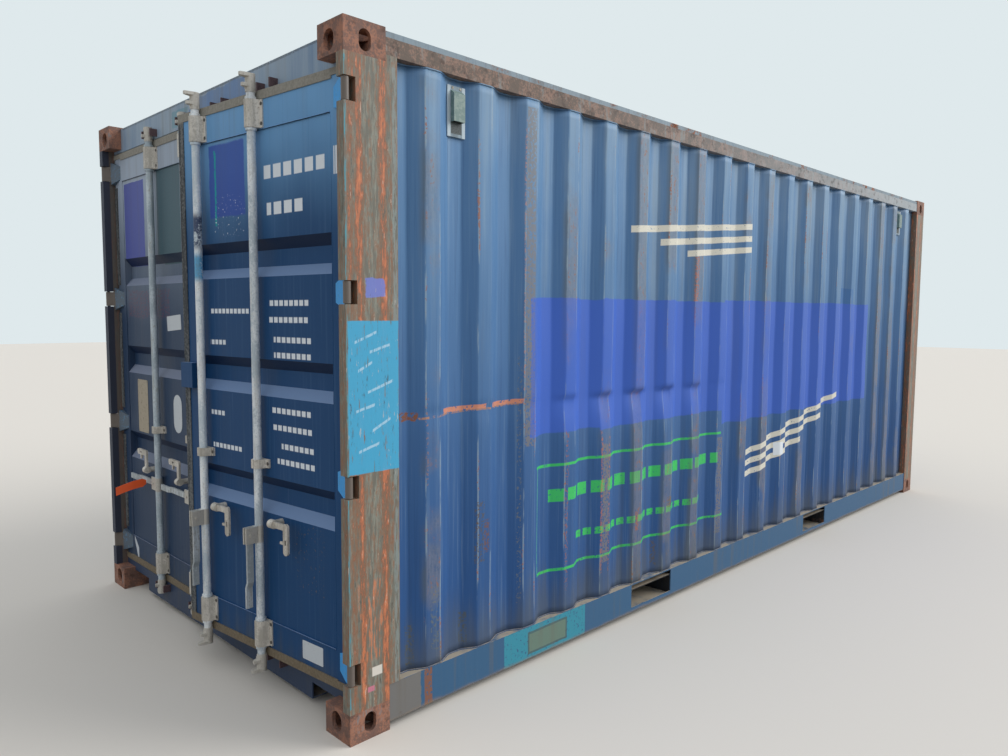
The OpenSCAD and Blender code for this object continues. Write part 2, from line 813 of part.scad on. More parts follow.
// Gasket round the leaf: a lip towards the doorway and a strip on the leaf's face.
// The right door's strip leaves the hinge side bare.
module door_gasket(side) {
    over = leaf_gap - gasket_gap;
    size = [leaf_side_y - leaf_seam_y, leaf_top - leaf_low];
    inner_edge = side == LEFT ? gasket_w : -over - EPS;
    color(seal_grey) hung(side)
        translate([0, -leaf_side_y, leaf_low]) rotate([90, 0, 90])
            translate([0, 0, face_x - gasket_t]) {
                linear_extrude(gasket_t) difference() {
                    translate([-over, -over]) square(size + [over + seam_lip(side), 2 * over]);
                    translate([inner_edge, gasket_w])
                        square([size[0] - gasket_w - inner_edge, size[1] - 2 * gasket_w]);
                    for (z = hinge_heights)
                        translate([-over - EPS, z - leaf_low - barrel_h])
                            square([over + blade_reach, 2 * barrel_h]);
                    if (side == RIGHT)
                        translate([
                            size[0] - seam_box_w - EPS, seam_box_z - seam_box_h / 2 - EPS - leaf_low
                        ])
                            square([seam_box_w + EPS, seam_box_h + 2 * EPS]);
                }
                translate([0, 0, gasket_t]) linear_extrude(leaf_d) difference() {
                    translate([-over, -over]) square(size + [over + seam_lip(side), 2 * over]);
                    square(size);
                }
            }
}

// The right door's gasket reaches a little further over the seam.
function seam_lip(side) = side == RIGHT ? 10 : 0.5;

// Plan of a gooseneck blade round its pin: it turns out of the post's slot onto the leaf's face.
module blade_plan() {
    reach = face_depth - pin_inset;
    slot_back = slot_depth - pin_inset;
    leg = post_leg - pin_inset;
    union() {
        circle(r = barrel_r, $fn = 48);
        polygon([
            [-barrel_r * 0.6, barrel_r * 0.8], [pin_inset + EPS, leg + hinge_clear / 2],
            [reach * 0.56, 2.3 * leg],
            [reach, leg + blade_reach], [reach, leg + 2 * hinge_clear],
            [slot_back - hinge_clear, leg + hinge_clear + EPS], [slot_back - hinge_clear, leg - hinge_clear],
            [barrel_r * 0.9, -barrel_r * 0.3]
        ]);
    }
}

// Outline of a blade seen from the front: level through the slot, then tapering to its tip.
module blade_outline() {
    leg = post_leg - pin_inset + hinge_clear + EPS;
    polygon([
        [-barrel_r - EPS, -barrel_h / 2], [leg, -barrel_h / 2], [leg + hinge_clear, -blade_root_h / 2],
        [leg + blade_reach, -blade_tip_h / 2], [leg + blade_reach, blade_tip_h / 2],
        [leg + hinge_clear, blade_root_h / 2], [leg, barrel_h / 2], [-barrel_r - EPS, barrel_h / 2]
    ]);
}

module door_hinges(side) {
    color(lug_blue) hung(side)
        for (z = hinge_heights)
            translate([pin_x, -pin_y, z]) difference() {
                intersection() {
                    translate([0, 0, -blade_root_h]) linear_extrude(2 * blade_root_h) blade_plan();
                    along_x(-face_depth, face_depth) blade_outline();
                }
                translate([0, 0, -barrel_h]) cylinder(h = 2 * barrel_h, r = pin_r + play, $fn = 48);
            }
}

// Half of a bracket's plan: a foot on the leaf's face and a slope to the hump over the rod.
function bracket_plan(sink) = [
    [face_x + sink, bracket_half], [face_x - bracket_t, bracket_half], [face_x - bracket_t, 2 * rod_r],
    [rod_x - rod_r / 2, rod_r + bracket_t], [rod_x - rod_r - bracket_t, rod_r * 0.75]
];

module rod_bracket(y, z, h, sink = 0) {
    plan = bracket_plan(sink);
    difference() {
        translate([0, -y, z - h / 2]) linear_extrude(h)
            polygon(concat(plan, reversed([for (p = plan) [p[0], -p[1]]])));
        translate([rod_x, -y, z - h / 2 - EPS]) cylinder(h = h + 2 * EPS, r = rod_r + play, $fn = 48);
    }
}

module rod_brackets(side) {
    color(zinc_grey) hung(side)
        for (y = [inner_rod_y, outer_rod_y]) {
            rod_bracket(y, low_bracket_z, bracket_h);
            rod_bracket(y, mid_bracket_z, mid_bracket_h, panel_sink);
            rod_bracket(y, top_bracket_z, bracket_h);
        }
}

// A catch: a post on the leaf with a round eye, and an angled arm that hangs open or is swung up.
module handle_catch(y, raised) {
    arm_x = rod_x - handle_t / 2 - catch_gap - catch_t;
    translate([0, -y - catch_y, handle_z + catch_rise]) {
        translate([arm_x, 0, 0]) rotate([0, 90, 0])
            cylinder(h = face_x + panel_sink - arm_x, r = catch_r, $fn = 32);
        translate([arm_x + catch_t / 2, 0, 0]) rotate([90, 0, 0])
            cylinder(h = catch_w, r = catch_eye_r, center = true, $fn = 32);
        translate([arm_x, 0, 0]) rotate([raised ? -90 : 0, 0, 0]) rotate([90, 0, 90]) linear_extrude(catch_t)
            difference() {
                union() {
                    translate([-catch_run, -catch_w * 0.4]) square([catch_run, catch_w * 0.8]);
                    translate([-catch_run, 0]) circle(d = catch_w, $fn = 32);
                    translate([-catch_run - catch_w / 2, -catch_fall]) square([catch_w, catch_fall]);
                    translate([-catch_run, -catch_fall]) circle(d = catch_w, $fn = 32);
                    translate([-catch_run, -catch_fall * 0.72]) square([catch_w * 1.2, catch_w / 3]);
                }
                translate([-catch_run, -catch_fall * 0.62]) square([catch_w / 3, catch_slot], center = true);
            }
    }
}

module handle_catches(side) {
    color(zinc_grey) hung(side)
        for (y = [inner_rod_y, outer_rod_y]) handle_catch(y, side == LEFT);
}

// Cam on a rod's end, pointing up: a flared boss, a long and a short horn towards -X, and a side lug.
module cam() {
    low = cam_h * 0.26;
    cylinder(h = cam_h, r = cam_r, $fn = 48);
    translate([0, 0, cam_h - horn_t]) linear_extrude(horn_t)
        polygon([
            [0, -cam_r], [-horn_reach * 0.7, -horn_t * 0.9], [-horn_reach, -horn_t * 0.45],
            [-horn_reach, horn_t * 0.45], [-horn_reach * 0.7, horn_t * 0.9], [0, cam_r]
        ]);
    translate([0, 0, low]) linear_extrude(horn_t)
        polygon([
            [0, -cam_r], [-horn_reach * 0.8, -horn_t * 0.5], [-horn_reach * 0.8, horn_t * 0.5],
            [-cam_r * 0.6, cam_r * 0.9], [-cam_r * 0.3, cam_r + horn_t], [cam_r * 0.3, cam_r + horn_t],
            [cam_r * 0.7, 0]
        ]);
}

// Hub on a rod: two plates that hold the handle's pivot, pointing to -X.
module rod_hub() {
    reach = handle_pivot + hub_over;
    for (s = [-1, 1])
        translate([-reach, s > 0 ? handle_t / 2 + hub_gap : -hub_half, -hub_h / 2])
            cube([reach, hub_t, hub_h]);
    translate([-rod_r - 8, -handle_t / 2 - hub_gap, -hub_h / 2])
        cube([8, handle_t + 2 * hub_gap, hub_h]);
    translate([-handle_pivot, hub_half + 4, 0]) rotate([90, 0, 0])
        cylinder(h = 2 * hub_half + 8, r = 7, $fn = 32);
}

// Places what turns with a rod: outwards on the right door, locked on the left.
module at_rod(side, y) {
    hung(side) translate([rod_x, -y, 0]) rotate([0, 0, side == LEFT ? 90 : 0]) children();
}

module lock_rod(side, y) {
    color(zinc_grey) at_rod(side, y) {
        translate([0, 0, cam_low + EPS]) cylinder(h = cam_top - cam_low - 2 * EPS, r = rod_r, $fn = 48);
        translate([0, 0, cam_top - cam_h]) cam();
        translate([0, 0, cam_low + cam_h]) mirror([0, 0, 1]) cam();
        for (z = [low_bracket_z, top_bracket_z], s = [-1, 1])
            translate([0, 0, z + s * (bracket_h / 2 + 6) - 5]) cylinder(h = 10, r = rod_r + 5, $fn = 48);
        translate([0, 0, handle_z]) rod_hub();
    }
}

// A handle: hanging from its hub on the right door, level in its catch on the left.
module rod_handle(side, y) {
    color(zinc_grey) at_rod(side, y)
        translate([-handle_pivot, 0, handle_z]) rotate([0, side == LEFT ? 90 : 0, 0]) difference() {
            union() {
                translate([0, handle_t / 2, 0])
                    rotate([90, 0, 0]) cylinder(h = handle_t, r = handle_w / 2, $fn = 48);
                translate([-handle_w / 2, 0, 0]) rotate([90, 0, 90]) linear_extrude(handle_w)
                    polygon([
                        [-handle_t / 2, 0], [-handle_t / 2, -joggle_at],
                        [-handle_t / 2 + joggle, -joggle_at - joggle_run],
                        [-handle_t / 2 + joggle, -handle_l], [handle_t / 2 + joggle, -handle_l],
                        [handle_t / 2 + joggle, -joggle_at - joggle_run], [handle_t / 2, -joggle_at],
                        [handle_t / 2, 0]
                    ]);
            }
            translate([0, handle_t, 0])
                rotate([90, 0, 0]) cylinder(h = 2 * handle_t, r = 7 + play, $fn = 48);
        }
}

corner_casting(-1, RIGHT, true);  // rear_top_casting_right
corner_casting(-1, LEFT, true);  // rear_top_casting_left
corner_casting(-1, RIGHT, false);  // rear_bottom_casting_right
corner_casting(-1, LEFT, false);  // rear_bottom_casting_left
corner_casting(1, RIGHT, true);  // front_top_casting_right
corner_casting(1, LEFT, true);  // front_top_casting_left
corner_casting(1, RIGHT, false);  // front_bottom_casting_right
corner_casting(1, LEFT, false);  // front_bottom_casting_left
rear_post(RIGHT);  // rear_post_right
rear_post(LEFT);  // rear_post_left
front_post(RIGHT);  // front_post_right
front_post(LEFT);  // front_post_left
rear_header();
rear_sill();
front_header();
front_sill();
top_side_rail(RIGHT);  // right_top_rail
top_side_rail(LEFT);  // left_top_rail
bottom_side_rail(RIGHT);  // right_bottom_rail
bottom_side_rail(LEFT);  // left_bottom_rail
side_wall(RIGHT);  // right_side_wall
side_wall(LEFT);  // left_side_wall
front_end_wall();
roof_panel();
floor_deck();
cross_members();
fork_pockets();
pocket_straps();
ventilators();
cam_keepers();
door_frame(RIGHT);  // right_door_frame
door_panel(RIGHT);  // right_door_panel
door_gasket(RIGHT);  // right_door_gasket
door_hinges(RIGHT);  // right_door_hinges
rod_brackets(RIGHT);  // right_rod_brackets
handle_catches(RIGHT);  // right_handle_catches
lock_rod(RIGHT, outer_rod_y);  // right_outer_rod
lock_rod(RIGHT, inner_rod_y);  // right_inner_rod
rod_handle(RIGHT, outer_rod_y);  // right_outer_handle
rod_handle(RIGHT, inner_rod_y);  // right_inner_handle
door_frame(LEFT);  // left_door_frame
door_panel(LEFT);  // left_door_panel
door_gasket(LEFT);  // left_door_gasket
door_hinges(LEFT);  // left_door_hinges
rod_brackets(LEFT);  // left_rod_brackets
handle_catches(LEFT);  // left_handle_catches
lock_rod(LEFT, outer_rod_y);  // left_outer_rod
lock_rod(LEFT, inner_rod_y);  // left_inner_rod
rod_handle(LEFT, outer_rod_y);  // left_outer_handle
rod_handle(LEFT, inner_rod_y);  // left_inner_handle
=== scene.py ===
"""Looks of a weathered twenty-foot freight container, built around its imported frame.

Lengths are metres in the frame's own axes: +X runs from the door end to the
blind end, the right side is at -Y and +Z is up. The right door stands ajar.
"""

from __future__ import annotations

import json
import logging
import math
from dataclasses import dataclass, replace
from enum import Enum
from typing import Iterable, Protocol, Sequence, Union

import bmesh
import bpy
from mathutils import Euler, Matrix, Vector

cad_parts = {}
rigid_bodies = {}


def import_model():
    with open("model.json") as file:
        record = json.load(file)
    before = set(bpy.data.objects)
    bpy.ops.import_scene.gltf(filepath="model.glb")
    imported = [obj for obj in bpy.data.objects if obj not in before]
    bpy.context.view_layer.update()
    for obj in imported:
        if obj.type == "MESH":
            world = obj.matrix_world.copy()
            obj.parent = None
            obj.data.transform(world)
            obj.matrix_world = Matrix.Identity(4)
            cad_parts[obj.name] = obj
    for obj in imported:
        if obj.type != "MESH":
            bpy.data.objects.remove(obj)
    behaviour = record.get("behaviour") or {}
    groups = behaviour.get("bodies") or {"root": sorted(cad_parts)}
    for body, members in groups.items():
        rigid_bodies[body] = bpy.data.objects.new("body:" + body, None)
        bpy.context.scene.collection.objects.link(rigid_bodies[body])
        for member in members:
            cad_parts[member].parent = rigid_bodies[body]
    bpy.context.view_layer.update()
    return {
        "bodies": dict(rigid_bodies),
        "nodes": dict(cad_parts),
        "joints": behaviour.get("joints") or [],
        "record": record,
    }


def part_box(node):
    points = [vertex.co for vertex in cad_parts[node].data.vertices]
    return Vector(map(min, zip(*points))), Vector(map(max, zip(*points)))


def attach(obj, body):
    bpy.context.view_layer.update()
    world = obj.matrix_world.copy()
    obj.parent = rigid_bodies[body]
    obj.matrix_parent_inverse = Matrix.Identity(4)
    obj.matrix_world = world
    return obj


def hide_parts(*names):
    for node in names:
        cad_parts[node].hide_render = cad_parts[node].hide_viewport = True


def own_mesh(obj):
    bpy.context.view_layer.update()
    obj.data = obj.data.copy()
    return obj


LOG = logging.getLogger("container")

Colour = tuple[float, float, float, float]
Point = tuple[float, float, float]
Span = tuple[float, float]
Feed = Union[bpy.types.NodeSocket, float, tuple]

AJAR = math.radians(5.6)
DOOR_FACE_X = -2.967
HINGE_X = -3.012
HINGE_Y = 1.202
BOTTOM_RAIL_TOP = 0.178
TOP_RAIL_UNDERSIDE = 2.497
POST_EDGE_X = 2.8


class Side(Enum):
    """Side of the container, as seen when facing the doors."""

    RIGHT = -1
    LEFT = 1

    @property
    def word(self) -> str:
        """Returns the side's word in the frame's node names."""
        return self.name.lower()


class Plane(Enum):
    """Face of the container that a mark lies on.

    Each value holds the axis it runs along, the axis it faces and the sign.
    """

    SIDE = (0, 1, -1)
    END = (1, 0, -1)
    TOP = (1, 2, 1)


def srgb(code: str) -> Colour:
    """Turns a six-digit colour code into the linear colour that shaders take.

    Args:
        code: The colour as a hash sign and six hexadecimal digits.

    Returns:
        The linear colour with full opacity.
    """
    channels = [int(code[start : start + 2], 16) / 255 for start in (1, 3, 5)]
    linear = [c / 12.92 if c <= 0.04045 else ((c + 0.055) / 1.055) ** 2.4 for c in channels]
    return (linear[0], linear[1], linear[2], 1.0)


def door_place(side: Side, x: float, y: float, z: float) -> Vector:
    """Moves a point of a closed door to where it is at rest.

    Args:
        side: The door the point belongs to.
        x: Place along the container.
        y: Distance from the seam between the doors.
        z: Height.

    Returns:
        The point on the left door, or on the right door standing ajar.
    """
    if side is Side.LEFT:
        return Vector((x, y, z))
    offset = Vector((x - HINGE_X, HINGE_Y - y, z))
    offset.rotate(Euler((0, 0, AJAR)))
    return offset + Vector((HINGE_X, -HINGE_Y, 0))


def door_outward(side: Side) -> Vector:
    """Returns the direction that a door's outer face looks in at rest."""
    return door_place(side, -1, 0, 0) - door_place(side, 0, 0, 0)


class ShaderSheet:
    """One material, with short calls that add nodes to it."""

    def __init__(self, name: str) -> None:
        """Starts a material.

        Args:
            name: The material's name.
        """
        self.material = bpy.data.materials.new(name)
        self.material.use_nodes = True
        self.tree = self.material.node_tree
        self.shader = self.tree.nodes["Principled BSDF"]
        coordinates = self.tree.nodes.new("ShaderNodeTexCoord").outputs
        self.place = coordinates["Object"]
        self.x, self.y, self.z = self.node("SeparateXYZ", self.place).outputs
        self.outward = self.node("SeparateXYZ", coordinates["Normal"]).outputs
        self.up = self.node("SeparateXYZ", self.node("NewGeometry").outputs["Normal"]).outputs[2]

    def feed(self, socket: bpy.types.NodeSocket, value: Feed) -> None:
        """Links a socket to another one, or gives it a value."""
        if isinstance(value, bpy.types.NodeSocket):
            self.tree.links.new(value, socket)
        else:
            socket.default_value = value

    def node(self, kind: str, *values: Feed, **settings: object) -> bpy.types.ShaderNode:
        """Adds a shader node.

        Args:
            kind: The node's type, without its prefix.
            values: What goes into its inputs, in their order.
            settings: Properties of the node.

        Returns:
            The new node.
        """
        made = self.tree.nodes.new("ShaderNode" + kind)
        for key, setting in settings.items():
            setattr(made, key, setting)
        for socket, value in zip(made.inputs, values):
            self.feed(socket, value)
        return made

    def math(self, operation: str, *values: Feed) -> bpy.types.NodeSocket:
        """Adds a math node and returns its result."""
        return self.node("Math", *values, operation=operation).outputs[0]

    def times(self, *shares: Feed) -> Feed:
        """Multiplies shares with each other and returns the product."""
        product = shares[0]
        for share in shares[1:]:
            product = self.math("MULTIPLY", product, share)
        return product

    def total(self, *terms: tuple[Feed, float]) -> Feed:
        """Adds up values, each with its weight."""
        result = self.math("MULTIPLY", *terms[0])
        for value, weight in terms[1:]:
            result = self.math("MULTIPLY_ADD", value, weight, result)
        return result

    def window(self, value: Feed, low: float, high: float) -> bpy.types.NodeSocket:
        """Rises smoothly from 0 at low to 1 at high, or falls where low is the larger."""
        made = self.node("MapRange", value, low, high, 0.0, 1.0, interpolation_type="SMOOTHSTEP")
        return made.outputs["Result"]

    def near(
        self, value: Feed, centre: float, reach: float, edge: float = 0.002
    ) -> bpy.types.NodeSocket:
        """Tells where a value lies within reach of a centre."""
        away = self.math("ABSOLUTE", self.math("SUBTRACT", value, centre))
        return self.window(away, reach + edge, reach - edge)

    def facing(self, plane: Plane) -> bpy.types.NodeSocket:
        """Tells where the surface looks out of one face of the container."""
        _, axis, sign = plane.value
        return self.window(self.outward[axis], 0.0, 0.15 * sign)

    def blend(self, share: Feed, under: Feed, over: Feed) -> bpy.types.NodeSocket:
        """Mixes one colour over another.

        Args:
            share: How much of the upper colour shows.
            under: The lower colour.
            over: The upper colour.

        Returns:
            The mixed colour.
        """
        made = self.node("Mix", data_type="RGBA")
        self.feed(made.inputs[0], share)
        self.feed(made.inputs[6], under)
        self.feed(made.inputs[7], over)
        return made.outputs[2]

    def lay(self, colour: Feed, code: str, *shares: Feed) -> bpy.types.NodeSocket:
        """Lays a colour code over a colour, as far as the product of the shares tells."""
        return self.blend(self.times(*shares), colour, srgb(code))

    def noise(
        self, scale: float, stretch: Point = (1, 1, 1), shift: float = 0.0, detail: float = 5.0
    ) -> bpy.types.NodeSocket:
        """Adds a noise over the piece's place.

        Args:
            scale: Grains per metre.
            stretch: Factors on the three axes; a small one draws the grains out.
            shift: Distance that moves the pattern along all axes.
            detail: Number of finer layers.

        Returns:
            The noise, from 0 to 1.
        """
        moved = self.node("Mapping", self.place, (shift, shift, shift), (0, 0, 0), stretch)
        made = self.node("TexNoise")
        self.feed(made.inputs["Vector"], moved.outputs[0])
        self.feed(made.inputs["Scale"], scale)
        self.feed(made.inputs["Detail"], detail)
        self.feed(made.inputs["Roughness"], 0.62)
        return made.outputs[0]

    def streaks(self, scale: float, shift: float = 0.0, stretch: float = 0.045) -> bpy.types.NodeSocket:
        """Adds a noise drawn out downwards, as water leaves it."""
        return self.noise(scale, (1.0, 1.0, stretch), shift, 6.0)

    def bump(self, height: Feed, distance: float, strength: float = 1.0) -> None:
        """Gives the shader a relief.

        Args:
            height: The relief, from 0 to 1.
            distance: Its depth in metres.
            strength: How strongly it shows.
        """
        made = self.node("Bump")
        self.feed(made.inputs["Height"], height)
        self.feed(made.inputs["Distance"], distance)
        self.feed(made.inputs["Strength"], strength)
        self.tree.links.new(made.outputs["Normal"], self.shader.inputs["Normal"])

    def finish(
        self, colour: Feed, roughness: Feed, metallic: float = 0.0, gloss: float = 0.4
    ) -> bpy.types.Material:
        """Connects the shader's main inputs and returns the material."""
        self.feed(self.shader.inputs["Base Color"], colour)
        self.shader.inputs["Specular IOR Level"].default_value = gloss
        self.feed(self.shader.inputs["Roughness"], roughness)
        self.shader.inputs["Metallic"].default_value = metallic
        return self.material


@dataclass(frozen=True)
class PaintMark:
    """A painted patch, bar or stripe on one face.

    Attributes:
        across: Lowest and highest place along the face.
        up: Lowest and highest height.
        colour: Its colour code.
        slope: Rise of the mark along the face.
        taper: Share of its height that is left at its far end.
        wander: How far its edges wander.
        edge: Width over which an edge fades.
        cover: Share of the paint below that it hides.
        wear: Share of the paint that has flaked off.
        dash: Length of the blocks that it is broken into, or nothing for one piece.
        fresh: Whether it was painted over the rust and scuffs.
    """

    across: Span
    up: Span
    colour: str
    slope: float = 0.0
    taper: float = 1.0
    wander: float = 0.003
    edge: float = 0.002
    cover: float = 1.0
    wear: float = 0.0
    dash: float = 0.0
    fresh: bool = False

    def mask(self, sheet: ShaderSheet, plane: Plane, rough: Feed, flakes: Feed) -> bpy.types.NodeSocket:
        """Adds the nodes that tell where the mark is.

        Args:
            sheet: The material under construction.
            plane: The face that the mark is on.
            rough: A noise that moves the mark's edges.
            flakes: A noise that flakes it.

        Returns:
            The mark's share of the surface.
        """
        run = (sheet.x, sheet.y, sheet.z)[plane.value[0]]
        drift = sheet.math("MULTIPLY_ADD", rough, 2 * self.wander, -self.wander)
        along = sheet.math("ADD", run, drift)
        height = sheet.math("ADD", sheet.z, drift)
        low, high = self.across
        centre = (self.up[0] + self.up[1]) / 2
        half = (self.up[1] - self.up[0]) / 2
        if self.slope:
            offset = sheet.math("MULTIPLY_ADD", along, -self.slope, self.slope * (low + high) / 2)
            height = sheet.math("ADD", height, offset)
        level = sheet.math("ABSOLUTE", sheet.math("SUBTRACT", height, centre))
        if self.taper != 1.0:
            fall = (1.0 - self.taper) * half / (high - low)
            level = sheet.math("ADD", level, sheet.math("MULTIPLY_ADD", along, fall, -fall * low))
        inside = sheet.times(
            sheet.window(level, half + self.edge, half - self.edge),
            sheet.near(along, (low + high) / 2, (high - low) / 2, self.edge),
        )
        if self.wear:
            worn = sheet.window(flakes, 0.3 + 0.4 * self.wear, 0.36 + 0.4 * self.wear)
            inside = sheet.times(inside, worn)
        if self.dash:
            step = 1 / (1.35 * self.dash)
            part = sheet.math("FRACT", sheet.math("MULTIPLY_ADD", along, step, -low * step))
            inside = sheet.times(inside, sheet.window(part, 0.77, 0.72))
        return sheet.times(inside, self.cover)


def lay_marks(
    sheet: ShaderSheet, colour: Feed, marks: Sequence[PaintMark], plane: Plane, rough: Feed, flakes: Feed
) -> Feed:
    """Lays painted marks over a colour, where the surface looks out of their plane.

    Args:
        sheet: The material under construction.
        colour: The colour below.
        marks: The marks, from the lowest layer up.
        plane: The face that they are on.
        rough: A noise that moves their edges.
        flakes: A noise that flakes them.

    Returns:
        The marked colour.
    """
    if not marks:
        return colour
    facing = sheet.facing(plane)
    for mark in marks:
        colour = sheet.lay(colour, mark.colour, mark.mask(sheet, plane, rough, flakes), facing)
    return colour


@dataclass(frozen=True)
class CrestWear:
    """Wear that follows the crests of a corrugated wall, and painted shade on their slopes that face the
    door end.

    Attributes:
        scuff: Share of the crests that is scuffed.
        rust: Share of the crests' edges that has rusted.
        pitch: Distance between the crests.
        crest: Half the flat width of a crest.
        foot: Distance from a crest's middle to its foot.
    """

    scuff: float = 0.5
    rust: float = 0.4
    pitch: float = 0.2765
    crest: float = 0.036
    foot: float = 0.104

    def paint(self, sheet: ShaderSheet, colour: Feed, fine: Feed, shift: float) -> bpy.types.NodeSocket:
        """Lays painted shade on the slopes that face the door end, paler crest flats, the crests'
        scuffs, pale lines along their edges and rust over a colour.

        Args:
            sheet: The material under construction.
            colour: The paint's colour.
            fine: A noise of finger-wide grains.
            shift: Distance that moves all patterns.

        Returns:
            The worn colour.
        """
        turns = sheet.math("MULTIPLY", sheet.x, 1 / self.pitch)
        offset = sheet.math("MULTIPLY_ADD", sheet.math("FRACT", turns), self.pitch, -self.pitch / 2)
        chance = sheet.node("TexWhiteNoise", noise_dimensions="1D")
        sheet.feed(chance.inputs["W"], sheet.math("ADD", sheet.math("FLOOR", turns), 7.3 + shift))
        reach = sheet.math("ABSOLUTE", offset)
        middle = (self.foot + self.crest) / 2
        slope = sheet.near(offset, -middle, middle - self.crest, 0.005)
        top = sheet.near(offset, 0.0, self.crest, 0.003)
        tall = sheet.noise(3.2, (0.5, 0.5, 0.4), shift + 13, 4.0)
        picked = sheet.total((chance.outputs[0], 0.28), (tall, 0.75), (sheet.z, 0.03))
        bite = 0.76 - 0.3 * self.scuff
        worn = sheet.window(picked, bite, bite + 0.08)
        high = sheet.window(sheet.z, 0.8, 2.4)
        # Painted shade: the slopes that face the door end are darkened, more so higher up; the crest
        # flats are laid paler.
        colour = sheet.lay(colour, "#1b4274", slope, sheet.total((high, 0.16), (1.0, 0.1)))
        colour = sheet.lay(colour, "#7b9cb2", top, sheet.total((high, 0.1), (1.0, 0.02)))
        stain = sheet.window(offset, -self.crest - 0.035, -self.crest)
        colour = sheet.lay(colour, "#5d625f", slope, stain, worn, 0.6)
        grain = sheet.noise(30.0, (1.6, 1.6, 0.55), shift + 19, 8.0)
        spots = sheet.total((grain, 0.65), (fine, 0.35))
        colour = sheet.lay(colour, "#84807c", worn, top, sheet.window(spots, 0.36, 0.5), 0.42)
        colour = sheet.lay(colour, "#64676a", worn, top, sheet.window(spots, 0.5, 0.44), 0.3)
        colour = sheet.lay(colour, "#91664f", worn, top, sheet.window(spots, 0.555, 0.6), 0.7)
        gap = sheet.math("ABSOLUTE", sheet.math("SUBTRACT", reach, self.crest))
        runs = sheet.noise(6.0, (2.5, 2.5, 0.35), shift + 29, 7.0)
        line = sheet.window(gap, 0.0055, 0.0015)
        colour = sheet.lay(colour, "#a3b5bd", line, sheet.window(runs, 0.47, 0.55), 0.5)
        level = 0.62 - 0.13 * self.rust
        chips = sheet.window(sheet.total((runs, 0.65), (fine, 0.35)), level, level + 0.03)
        return sheet.lay(colour, "#9b654b", sheet.window(gap, 0.01, 0.003), chips, 0.85)


